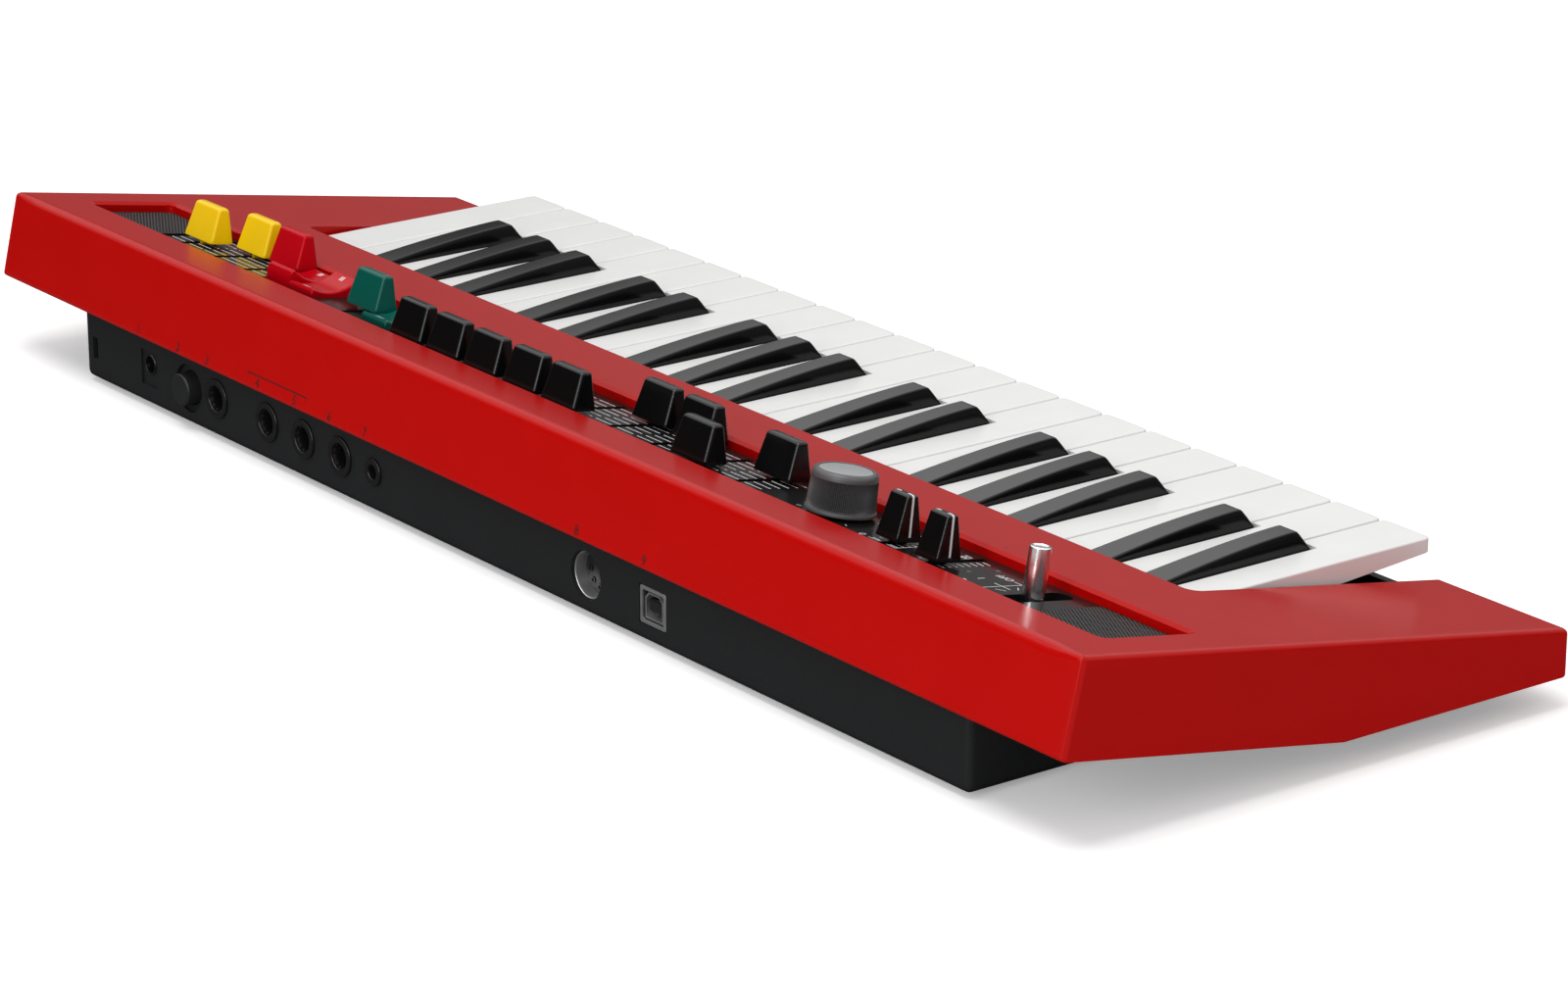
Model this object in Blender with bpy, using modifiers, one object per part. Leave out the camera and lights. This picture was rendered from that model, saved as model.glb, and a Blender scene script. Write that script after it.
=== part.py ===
"""Combo organ with 37 mini keys, in metres, +Z up, +X to the player's right, +Y to the rear.
The origin is under the middle of the object, on the surface that its feet stand on."""

from math import cos, pi, radians, sin, tan

import bmesh
import bpy
from mathutils import Euler, Matrix, Vector

# Clearances, how far a cutter runs past what it cuts, and how far joined shapes keep off one plane
FIT_GAP = 0.0003
RUN_GAP = 0.0004
CUT_OVERSHOOT = 0.004
OFF_PLANE = 0.0002

# Top case: side outline, walls and key well
FOOT_HEIGHT = 0.0015
CASE_LENGTH = 0.530
CASE_DEPTH = 0.175
CASE_SLOPE = radians(10)
REAR_TOP_HEIGHT = FOOT_HEIGHT + 0.0505
REAR_FACE_DROP = 0.0267
REAR_FACE_LEAN = 0.0062
CHEEK_UNDERSIDE = FOOT_HEIGHT + 0.0072
CASE_WALL = 0.003
CASE_ROUNDING = 0.0016
PANEL_FRONT_Y = 0.0029
WELL_CORNER_RADIUS = 0.004
WELL_SIDE_GAP = 0.0015
MOUTH_SIDE_GAP = 0.0009

# Keys
KEY_PITCH = 0.01952
OCTAVES = 3
KEY_GAP = 0.0008
KEY_FRONT_SET_BACK = 0.0027
KEY_TOP = FOOT_HEIGHT + 0.033
KEY_NOSE_HEIGHT = 0.0042
KEY_UNDERSIDE = FOOT_HEIGHT + 0.025
KEY_UNDERSIDE_Y = -0.033
KEY_CORNER_RADIUS = 0.0022
KEY_EDGE_RADIUS = 0.0009
TAIL_STEP = 0.0004
TAIL_END = 0.005
NOTCH_FRONT_Y = -0.0537
BLACK_FRONT_Y = -0.0521
BLACK_WIDTH = 0.0096
BLACK_TOP_WIDTH = 0.0069
BLACK_RISE = 0.0053
BLACK_REAR_RISE = 0.0008
BLACK_FRONT_SLANT = 0.0036
BLACK_TOP_STEPS = 6
BLACK_EDGE = 0.0005
BLACK_TOP_CURVE = 1.5
BLACK_SIDE_GAP = 0.0007
BLACK_REAR_GAP = 0.001
BLACK_SHIFTS = {1: -0.0015, 3: 0.0015, 6: -0.0021, 8: 0.0, 10: 0.0021}
WHITE_NOTES = (0, 2, 4, 5, 7, 9, 11)
NOTE_NAMES = ("c", "c_sharp", "d", "d_sharp", "e", "f", "f_sharp", "g", "g_sharp", "a", "a_sharp", "b")

# Hinge bar that all keys hook over
HINGE_Y = 0.044
HINGE_Z = FOOT_HEIGHT + 0.0285
HINGE_RADIUS = 0.002
HINGE_WEB = 0.0016

# Base case
BASE_WALL = 0.0025
BASE_REAR_SET_BACK = 0.0055
BASE_FRONT_SET_BACK = 0.0015
BASE_FRONT_KNEE = FOOT_HEIGHT + 0.006
BASE_FRONT_LEAN = 0.0073
BASE_FRONT_TOP_Z = FOOT_HEIGHT + 0.0197
BASE_ROUNDING = 0.0024
FLANGE_THICKNESS = 0.002
FOOT_RADIUS = 0.006
FOOT_X = 0.195
FOOT_FRONT_INSET = 0.026
FOOT_REAR_INSET = 0.020
COVER_PLACE = (-0.02, -0.018)
COVER_SIZE = (0.112, 0.056)
COVER_CORNER = 0.004
COVER_GROOVE = 0.0006
COVER_HOLD = (0.018, 0.007)
COVER_HOLD_DEPTH = 0.0011
SCREW_XS = (-0.212, -0.105, 0.075, 0.212)
SCREW_FRONT_INSET = 0.012
SCREW_REAR_INSET = 0.009
SCREW_RADIUS = 0.0028
SCREW_DEPTH = 0.0012

# Control recess and panel, in the tilted frame of the top surface (x, slope, height over the surface)
RECESS_HALF = 0.2504
RECESS_FRONT = 0.0326
RECESS_REAR = 0.0634
RECESS_DEPTH = 0.0032
RECESS_CHAMFER = 0.0012
RECESS_CORNER = 0.0025
PANEL_THICKNESS = 0.0026
PANEL_LAP = 0.004
PANEL_TOP_OVERLAP = 0.0006

# Sliders
SLIDER_FRONT = 0.0378
SLIDER_TRAVEL = 0.018
CAP_LIFT = 0.0012
CAP_HEIGHT = 0.0113
CAP_FOOT = (0.0166, 0.0084)
CAP_HEAD = (0.0146, 0.0036)
CAP_ROUNDING = 0.0008
NARROW_CAP_HEIGHT = 0.0125
NARROW_CAP_FOOT = (0.0094, 0.0088)
NARROW_CAP_HEAD = (0.0076, 0.0036)
NARROW_CAP_RIDGE = 0.0008
STEM_WIDTH = 0.0016
STEM_LENGTH = 0.005
STEM_REACH = 0.0028
FOOTAGE_COUNT = 9
FOOTAGE_FIRST_X = -0.0868
FOOTAGE_PITCH = 0.02005
FOOTAGE_REST = (0.0018, 0.0159, 0.0003, 0.0, 0.018, 0.0177, 0.018, 0.0176, 0.0172)
# For each cap: x, how far it stands from its front stop at rest and, where caps differ, its colour
WIDE_SLIDERS = {
    "vibrato_depth_slider": (0.1125, 0.0072, "green"),
    "percussion_length_slider": (0.1684, 0.0, "red"),
    "effect_slider_1": (0.1863, 0.0008, "yellow"),
    "effect_slider_2": (0.2058, 0.008, "yellow"),
}
NARROW_SLIDERS = {"octave_slider": (-0.1704, 0.0139), "volume_slider": (-0.1507, 0.0116)}

# Rotary speed lever
LEVER_X = -0.205
LEVER_SLOPE = 0.0477
LEVER_RADIUS = 0.0028
LEVER_HEIGHT = 0.0139
LEVER_SIDE_GAP = 0.0008
LEVER_TRAVEL = 0.009
LEVER_EDGE = 0.00035

# Wave knob
KNOB_X = -0.1229
KNOB_SLOPE = 0.0473
KNOB_SKIRT_RADIUS = 0.0099
KNOB_FOOT_RADIUS = 0.0096
KNOB_HEAD_RADIUS = 0.0088
KNOB_INSERT_RADIUS = 0.00735
KNOB_HEIGHT = 0.0127
KNOB_LIFT = 0.0009
KNOB_SHAFT_RADIUS = 0.003
KNOB_SKIRT_HEIGHT = 0.0009
KNOB_INSERT_DROP = 0.0004
KNOB_SHOULDER = 0.0009
KNOB_RIBS = 48
KNOB_RIB_DEPTH = 0.0003
KNOB_RIB_TOP = 0.0104

# Rockers: x of the middle, +1 with the rear end up at rest or -1 with it down, colour
ROCKERS = {
    "vibrato_rocker": (0.0965, -1, "green"),
    "percussion_rocker_1": (0.1374, -1, "red"),
    "percussion_rocker_2": (0.1520, 1, "red"),
}
ROCKER_SLOPE = 0.0455
ROCKER_WIDTH = 0.0132
ROCKER_HALF = 0.0088
ROCKER_END_RISE = 0.0040
ROCKER_DISH_RISE = 0.0018
ROCKER_BELLY = 0.0046
ROCKER_BELLY_START = radians(27)
ROCKER_LIP = 0.0009
ROCKER_LIP_DROP = 0.0012
ROCKER_UNDERCUT = 0.0006
ROCKER_DISH_STEPS = 5
ROCKER_PIVOT_DEPTH = 0.0022
ROCKER_TILT = radians(9.5)
ROCKER_END_GAP = 0.0009
ROCKER_PIN_RADIUS = 0.0008
ROCKER_PIN_REACH = 0.0005

# Rear sockets and power button
JACK_Z = FOOT_HEIGHT + 0.0126
JACK_XS = (0.1422, 0.1133, 0.0930, 0.0727)
JACK_RING_RADIUS = 0.0061
JACK_RING_RISE = 0.0007
JACK_MOUTH_RADIUS = 0.0044
JACK_BORE_RADIUS = 0.0033
JACK_BARREL_RADIUS = 0.0056
JACK_BARREL_LENGTH = 0.020
JACK_MOUTH_DEPTH = 0.0035
AUX_X = 0.0547
AUX_RING_RADIUS = 0.0042
AUX_BORE_RADIUS = 0.0018
AUX_MOUTH_RADIUS = 0.0025
AUX_BARREL_LENGTH = 0.014
AUX_BARREL_RADIUS = 0.0040
POWER_X = 0.1590
POWER_Z = FOOT_HEIGHT + 0.0116
POWER_RADIUS = 0.0052
POWER_RISE = 0.0034
POWER_RECESS_RADIUS = 0.0077
POWER_RECESS_DEPTH = 0.0012
POWER_BODY_LENGTH = 0.009
POWER_EDGE = 0.0008
DC_X = 0.1826
DC_Z = FOOT_HEIGHT + 0.0119
DC_PLATE = (0.0097, 0.0114)
DC_PLATE_RECESS = 0.0008
DC_HOLE_RADIUS = 0.0027
DC_HOLE_Z = FOOT_HEIGHT + 0.0132
DC_DEPTH = 0.010
LOCK_X = 0.2157
LOCK_Z = FOOT_HEIGHT + 0.0105
LOCK_SLOT = (0.003, 0.007)
DIN_X = -0.0532
DIN_Z = FOOT_HEIGHT + 0.0113
DIN_MOUTH_RADIUS = 0.0072
DIN_DEPTH = 0.006
DIN_BARREL_RADIUS = 0.0093
DATA_X = -0.0848
DATA_Z = FOOT_HEIGHT + 0.0108
DATA_PLATE = (0.0126, 0.0114)
DATA_PLATE_RECESS = 0.0008
DATA_MOUTH = (0.0086, 0.0079)
DATA_DEPTH = 0.010
DATA_TONGUE = (0.0056, 0.0032)
SOCKET_WALL = 0.0016

# Values that follow from the ones above
CASE_HALF = CASE_LENGTH / 2
CASE_FRONT_Y = -CASE_DEPTH / 2
REAR_BOTTOM_Y = CASE_DEPTH / 2
KEY_FRONT_Y = CASE_FRONT_Y + KEY_FRONT_SET_BACK
BASE_REAR_Y = REAR_BOTTOM_Y - BASE_REAR_SET_BACK
BASE_FRONT_Y = CASE_FRONT_Y + BASE_FRONT_SET_BACK
BASE_FRONT_TOP = (BASE_FRONT_Y + BASE_FRONT_LEAN, BASE_FRONT_TOP_Z)
FOOT_FRONT_Y = BASE_FRONT_Y + FOOT_FRONT_INSET
FOOT_REAR_Y = BASE_REAR_Y - FOOT_REAR_INSET
SCREW_YS = (BASE_FRONT_Y + SCREW_FRONT_INSET, BASE_REAR_Y - SCREW_REAR_INSET)
REAR_TOP_Y = REAR_BOTTOM_Y - REAR_FACE_LEAN
REAR_BOTTOM_HEIGHT = REAR_TOP_HEIGHT - REAR_FACE_DROP
SURFACE_Z = REAR_TOP_HEIGHT - REAR_TOP_Y * tan(CASE_SLOPE)
WHITE_COUNT = OCTAVES * len(WHITE_NOTES) + 1
KEYS_HALF = WHITE_COUNT * KEY_PITCH / 2
WELL_HALF = KEYS_HALF + WELL_SIDE_GAP
BASE_INNER_HALF = WELL_HALF + CASE_WALL + FIT_GAP
BASE_HALF = BASE_INNER_HALF + BASE_WALL
PANEL_TOP = -RECESS_DEPTH
PANEL_UNDERSIDE = PANEL_TOP - PANEL_THICKNESS
SLIDER_REAR = SLIDER_FRONT + SLIDER_TRAVEL
ARC_STEPS = 3
FINE_ARC_STEPS = 5
ROUND_SIDES = 16
BORE_SIDES = 12
TURN_STEPS = 32

COLOURS = {
    "red_case": ((0.55, 0.012, 0.010), 0.45, 0.0),
    "black_case": ((0.018, 0.019, 0.020), 0.5, 0.0),
    "white": ((0.82, 0.82, 0.80), 0.3, 0.0),
    "black_key": ((0.02, 0.02, 0.02), 0.3, 0.0),
    "black_cap": ((0.006, 0.006, 0.007), 0.4, 0.0),
    "knob": ((0.02, 0.02, 0.022), 0.5, 0.0),
    "green": ((0.0, 0.11, 0.075), 0.35, 0.0),
    "red": ((0.52, 0.0, 0.006), 0.3, 0.0),
    "yellow": ((0.90, 0.55, 0.03), 0.3, 0.0),
    "steel": ((0.75, 0.75, 0.76), 0.12, 1.0),
}


def clear_scene():
    for obj in list(bpy.data.objects):
        bpy.data.objects.remove(obj, do_unlink=True)


def new_collection(name):
    collection = bpy.data.collections.new(name)
    bpy.context.scene.collection.children.link(collection)
    return collection


def make_material(name, colour, roughness, metallic):
    material = bpy.data.materials.new(name)
    material.use_nodes = True
    shader = material.node_tree.nodes["Principled BSDF"]
    shader.inputs["Base Color"].default_value = (*colour, 1.0)
    shader.inputs["Roughness"].default_value = roughness
    shader.inputs["Metallic"].default_value = metallic
    return material


clear_scene()
PARTS = new_collection("combo_organ")
CUTTERS = new_collection("cutters")


def add_object(name, mesh, colour=None, parent=None):
    """Link a mesh as a part with its own material, or as a hidden helper when no colour is given."""
    obj = bpy.data.objects.new(name, mesh)
    if colour:
        PARTS.objects.link(obj)
        if not mesh.materials:
            mesh.materials.append(make_material(name, *COLOURS[colour]))
    else:
        CUTTERS.objects.link(obj)
        obj.hide_render = True
        obj.display_type = "WIRE"
    obj.parent = parent
    return obj


def mesh_from(bm, name):
    bmesh.ops.recalc_face_normals(bm, faces=bm.faces)
    mesh = bpy.data.meshes.new(name)
    bm.to_mesh(mesh)
    bm.free()
    return mesh


def box_mesh(name, low, high, foot=None):
    """A box between two corners, or a tapered one where foot gives the half sizes of its lower end."""
    bm = bmesh.new()
    bmesh.ops.create_cube(bm, size=1.0)
    middle = (Vector(low) + Vector(high)) / 2
    size = Vector(high) - Vector(low)
    for vert in bm.verts:
        at_foot = foot is not None and vert.co.z < 0
        vert.co = Vector(a * b for a, b in zip(vert.co, size))
        if at_foot:
            vert.co.x *= foot[0] / (size.x / 2)
            vert.co.y *= foot[1] / (size.y / 2)
        vert.co += middle
    return mesh_from(bm, name)


def cone_mesh(name, radius_in, radius_out, y_in, y_out, x, z, sides=ROUND_SIDES):
    """A round solid along Y, from its inner end to its outer end."""
    bm = bmesh.new()
    bmesh.ops.create_cone(
        bm, cap_ends=True, segments=sides, radius1=radius_in, radius2=radius_out, depth=y_out - y_in
    )
    place = Matrix.Translation((x, (y_in + y_out) / 2, z)) @ Euler((-pi / 2, 0, 0)).to_matrix().to_4x4()
    bmesh.ops.transform(bm, matrix=place, verts=bm.verts)
    return mesh_from(bm, name)


def outline_mesh(name, outline, low, high, plane):
    """A flat outline as a filled 2D curve with thickness, made a mesh. Plane XY rises along Z and
    plane YZ runs along X, between low and high."""
    curve = bpy.data.curves.new(name, "CURVE")
    curve.dimensions = "2D"
    curve.fill_mode = "BOTH"
    curve.extrude = (high - low) / 2
    spline = curve.splines.new("POLY")
    spline.points.add(len(outline) - 1)
    for point, (u, v) in zip(spline.points, outline):
        point.co = (u, v, 0.0, 1.0)
    spline.use_cyclic_u = True
    holder = bpy.data.objects.new(name, curve)
    CUTTERS.objects.link(holder)
    bpy.context.view_layer.update()
    mesh = bpy.data.meshes.new_from_object(holder.evaluated_get(bpy.context.evaluated_depsgraph_get()))
    bpy.data.objects.remove(holder)
    turn = Matrix(((0, 0, 1), (1, 0, 0), (0, 1, 0))) if plane == "YZ" else Matrix.Identity(3)
    middle = Vector((0, 0, (low + high) / 2))
    bm = bmesh.new()
    bm.from_mesh(mesh)
    bpy.data.meshes.remove(mesh)
    bmesh.ops.translate(bm, vec=middle, verts=bm.verts)
    bmesh.ops.transform(bm, matrix=turn.to_4x4(), verts=bm.verts)
    bmesh.ops.remove_doubles(bm, verts=bm.verts, dist=0.00001)
    return mesh_from(bm, name)


def lathe(name, profile, steps, colour, parent=None):
    """A turned solid: the profile runs down its outer side from the axis to the axis."""
    bm = bmesh.new()
    verts = [bm.verts.new((radius, 0, height)) for radius, height in profile]
    for first, second in zip(verts, verts[1:]):
        bm.edges.new((first, second))
    mesh = bpy.data.meshes.new(name)
    bm.to_mesh(mesh)
    bm.free()
    obj = add_object(name, mesh, colour, parent)
    screw = obj.modifiers.new("turn", "SCREW")
    screw.steps = steps
    screw.render_steps = steps
    screw.use_merge_vertices = True
    screw.merge_threshold = 0.00002
    return obj


def bevel_edges(mesh, chosen, width, segments):
    """Round the edges for which chosen(start, end) holds."""
    bm = bmesh.new()
    bm.from_mesh(mesh)
    edges = [edge for edge in bm.edges if chosen(edge.verts[0].co, edge.verts[1].co)]
    bmesh.ops.bevel(bm, geom=edges, offset=width, segments=segments, profile=0.5, affect="EDGES")
    bm.to_mesh(mesh)
    bm.free()
    return mesh


def boolean(obj, other, operation):
    modifier = obj.modifiers.new(other.name, "BOOLEAN")
    modifier.object = other
    modifier.operation = operation
    modifier.solver = "EXACT"


def cut(obj, mesh, parent=None):
    boolean(obj, add_object(mesh.name, mesh, parent=parent), "DIFFERENCE")


def join(obj, mesh, parent=None):
    boolean(obj, add_object(mesh.name, mesh, parent=parent), "UNION")


def boolean_all(obj, name, operation, helpers):
    """One Boolean with several helpers at once, from a collection of their own."""
    group = bpy.data.collections.new(name)
    CUTTERS.children.link(group)
    for helper in helpers:
        CUTTERS.objects.unlink(helper)
        group.objects.link(helper)
    modifier = obj.modifiers.new(name, "BOOLEAN")
    modifier.operand_type = "COLLECTION"
    modifier.collection = group
    modifier.operation = operation
    modifier.solver = "EXACT"


def flatten(obj):
    """Split the faces into flat triangles, which the next Boolean needs after a curved cut."""
    obj.modifiers.new("flat_faces", "TRIANGULATE")


def arc(centre, radius, start, end, steps=ARC_STEPS):
    """Points of an arc from one angle to another, both ends included."""
    turns = [start + (end - start) * i / steps for i in range(steps + 1)]
    return [(centre[0] + radius * cos(a), centre[1] + radius * sin(a)) for a in turns]


def make_slope_frame():
    """An empty whose XY plane is the top surface: x as the case, y up the slope, z out of it."""
    empty = bpy.data.objects.new("slope_frame", None)
    PARTS.objects.link(empty)
    empty.location = (0, 0, SURFACE_Z)
    empty.rotation_euler = (CASE_SLOPE, 0, 0)
    return empty


SLOPE = make_slope_frame()


def surface_height(y):
    return SURFACE_Z + y * tan(CASE_SLOPE)


def underside_height(y):
    """The lower edge of the top case: level under the cheeks' front, then parallel to the top."""
    return max(CHEEK_UNDERSIDE, REAR_BOTTOM_HEIGHT - (REAR_BOTTOM_Y - y) * tan(CASE_SLOPE))


KINK_Y = REAR_BOTTOM_Y - (REAR_BOTTOM_HEIGHT - CHEEK_UNDERSIDE) / tan(CASE_SLOPE)


def make_hollow():
    """The hollow of the top case: a wall inside its outline, open below, round the key well's walls."""
    drop = CASE_WALL / cos(CASE_SLOPE)
    lean = REAR_FACE_LEAN / REAR_FACE_DROP
    front_y = CASE_FRONT_Y + CASE_WALL
    rear_y = REAR_TOP_Y - CASE_WALL * (1 + lean)
    outline = [
        (front_y, surface_height(front_y) - drop),
        (front_y, CHEEK_UNDERSIDE - CUT_OVERSHOOT),
        (KINK_Y, CHEEK_UNDERSIDE - CUT_OVERSHOOT),
        (REAR_BOTTOM_Y - CASE_WALL + lean * CUT_OVERSHOOT, REAR_BOTTOM_HEIGHT - CUT_OVERSHOOT),
        (rear_y, surface_height(rear_y) - drop),
    ]
    half = CASE_HALF - CASE_WALL
    hollow = add_object("hollow", outline_mesh("hollow", outline, -half, half, "YZ"))
    half = WELL_HALF + CASE_WALL
    low = (-half, CASE_FRONT_Y - CUT_OVERSHOOT, -CUT_OVERSHOOT)
    high = (half, PANEL_FRONT_Y + CASE_WALL, REAR_TOP_HEIGHT + CUT_OVERSHOOT)
    cut(hollow, box_mesh("well_walls", low, high))
    return hollow


def recess_mesh():
    """The control recess: an upright pocket, widened by a chamfer at its rim."""
    low = (-RECESS_HALF, RECESS_FRONT, -RECESS_DEPTH)
    high = (RECESS_HALF, RECESS_REAR, CUT_OVERSHOOT)
    upright = lambda a, b: abs(a.z - b.z) > RECESS_DEPTH
    return bevel_edges(box_mesh("recess_pocket", low, high), upright, RECESS_CORNER, ARC_STEPS)


def recess_rim_mesh():
    grow = RECESS_CHAMFER + CUT_OVERSHOOT - OFF_PLANE
    low = (-RECESS_HALF - grow, RECESS_FRONT - grow, -RECESS_CHAMFER)
    high = (RECESS_HALF + grow, RECESS_REAR + grow, CUT_OVERSHOOT)
    foot = (RECESS_HALF - OFF_PLANE, (RECESS_REAR - RECESS_FRONT) / 2 - OFF_PLANE)
    upright = lambda a, b: abs(a.z - b.z) > RECESS_CHAMFER
    return bevel_edges(box_mesh("recess_rim", low, high, foot), upright, RECESS_CORNER, ARC_STEPS)


def slider_table():
    """Every slider: name, x, slope position at rest, colour, narrow or wide cap."""
    rows = []
    for i in range(FOOTAGE_COUNT):
        x = FOOTAGE_FIRST_X + i * FOOTAGE_PITCH
        rows.append((f"footage_slider_{i + 1}", x, FOOTAGE_REST[i], "black_cap", False))
    rows += [(name, x, rest, colour, False) for name, (x, rest, colour) in WIDE_SLIDERS.items()]
    rows += [(name, x, rest, "black_cap", True) for name, (x, rest) in NARROW_SLIDERS.items()]
    return rows


def panel_openings():
    """Cutters through the control panel for stems, lever, shaft and rockers."""
    low = PANEL_UNDERSIDE - CUT_OVERSHOOT
    high = PANEL_TOP + CUT_OVERSHOOT
    meshes = []
    for name, x, _, _, _ in slider_table():
        half = STEM_WIDTH / 2 + RUN_GAP
        front = SLIDER_FRONT - STEM_LENGTH / 2 - RUN_GAP
        rear = SLIDER_REAR + STEM_LENGTH / 2 + RUN_GAP
        meshes.append(box_mesh(f"{name}_slot", (x - half, front, low), (x + half, rear, high)))
    half = LEVER_RADIUS + LEVER_SIDE_GAP
    slot = panel_hole("lever_slot", LEVER_X, LEVER_SLOPE, half, LEVER_TRAVEL + half, low, high)
    upright = lambda a, b: abs(a.z - b.z) > PANEL_THICKNESS
    meshes.append(bevel_edges(slot, upright, half - OFF_PLANE, FINE_ARC_STEPS))
    for name, (x, _, _) in ROCKERS.items():
        half = ROCKER_WIDTH / 2 + RUN_GAP
        reach = ROCKER_HALF + ROCKER_END_GAP
        meshes.append(panel_hole(f"{name}_hole", x, ROCKER_SLOPE, half, reach, low, high))
        half += ROCKER_PIN_REACH - RUN_GAP + FIT_GAP
        reach = ROCKER_PIN_RADIUS + FIT_GAP
        top = PANEL_TOP - ROCKER_PIVOT_DEPTH + reach
        meshes.append(panel_hole(f"{name}_bearing", x, ROCKER_SLOPE, half, reach, low, top))
    radius = KNOB_SHAFT_RADIUS + RUN_GAP
    meshes.append(post_mesh("knob_hole", radius, KNOB_X, KNOB_SLOPE, low, high))
    return meshes


def panel_hole(name, x, slope, half, reach, low, high):
    return box_mesh(name, (x - half, slope - reach, low), (x + half, slope + reach, high))


def post_mesh(name, radius, x, y, low, high, sides=ROUND_SIDES):
    """An upright round post, for a foot, a screw hole or a shaft's hole."""
    bm = bmesh.new()
    bmesh.ops.create_cone(
        bm, cap_ends=True, segments=sides, radius1=radius, radius2=radius, depth=high - low
    )
    bmesh.ops.translate(bm, vec=(x, y, (low + high) / 2), verts=bm.verts)
    return mesh_from(bm, name)


def make_top_case():
    """The red moulding with the control panel fused under its recess."""
    outline = [
        (CASE_FRONT_Y, surface_height(CASE_FRONT_Y)),
        (CASE_FRONT_Y, CHEEK_UNDERSIDE),
        (KINK_Y, CHEEK_UNDERSIDE),
        (REAR_BOTTOM_Y, REAR_BOTTOM_HEIGHT),
        (REAR_TOP_Y, REAR_TOP_HEIGHT),
    ]
    mesh = outline_mesh("top_case", outline, -CASE_HALF, CASE_HALF, "YZ")
    case = add_object("top_case", mesh, "red_case")
    rounding = case.modifiers.new("rounding", "BEVEL")
    rounding.width = CASE_ROUNDING
    rounding.segments = FINE_ARC_STEPS
    rounding.limit_method = "ANGLE"
    rounding.angle_limit = radians(30)
    flatten(case)
    well = box_mesh(
        "key_well",
        (-WELL_HALF, CASE_FRONT_Y - WELL_CORNER_RADIUS - CUT_OVERSHOOT, -CUT_OVERSHOOT),
        (WELL_HALF, PANEL_FRONT_Y, REAR_TOP_HEIGHT),
    )
    upright = lambda a, b: abs(a.z - b.z) > CASE_WALL
    well = add_object("key_well", bevel_edges(well, upright, WELL_CORNER_RADIUS, FINE_ARC_STEPS))
    mouth_half = KEYS_HALF + MOUTH_SIDE_GAP
    mouth_top = surface_height(PANEL_FRONT_Y) - CASE_WALL / cos(CASE_SLOPE)
    low = (-mouth_half, PANEL_FRONT_Y - CASE_WALL, -CUT_OVERSHOOT)
    high = (mouth_half, PANEL_FRONT_Y + 2 * CASE_WALL, mouth_top)
    mouth = add_object("key_mouth", box_mesh("key_mouth", low, high))
    boolean_all(case, "hollows", "DIFFERENCE", [make_hollow(), well, mouth])
    flatten(case)
    panel = box_mesh(
        "control_panel",
        (-RECESS_HALF - PANEL_LAP, RECESS_FRONT - PANEL_LAP, PANEL_UNDERSIDE),
        (RECESS_HALF + PANEL_LAP, RECESS_REAR + PANEL_LAP, -CASE_WALL + PANEL_TOP_OVERLAP),
    )
    join(case, panel, SLOPE)
    flatten(case)
    meshes = [recess_mesh(), recess_rim_mesh()] + panel_openings()
    openings = [add_object(mesh.name, mesh, parent=SLOPE) for mesh in meshes]
    boolean_all(case, "openings", "DIFFERENCE", openings)
    return case


def flange_outline():
    """The base case's flange that closes the top case from below, in side view."""
    front = CASE_FRONT_Y + CASE_WALL + FIT_GAP
    rear = REAR_BOTTOM_Y - CASE_WALL - FIT_GAP - (REAR_FACE_LEAN / REAR_FACE_DROP) * FLANGE_THICKNESS
    lower = [(front, CHEEK_UNDERSIDE), (KINK_Y, CHEEK_UNDERSIDE), (rear, underside_height(rear))]
    upper = [(y, z + FLANGE_THICKNESS) for y, z in reversed(lower)]
    return lower + upper


def make_flange():
    """The flange as a U in plan, its inner edge inside the walls of the tub."""
    half = CASE_HALF - CASE_WALL - FIT_GAP
    flange = add_object("flange", outline_mesh("flange", flange_outline(), -half, half, "YZ"))
    half = BASE_HALF - BASE_WALL / 2
    low = (-half, CASE_FRONT_Y, -CUT_OVERSHOOT)
    cut(flange, box_mesh("flange_inside", low, (half, BASE_REAR_Y - BASE_WALL / 2, REAR_TOP_HEIGHT)))
    return flange


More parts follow.
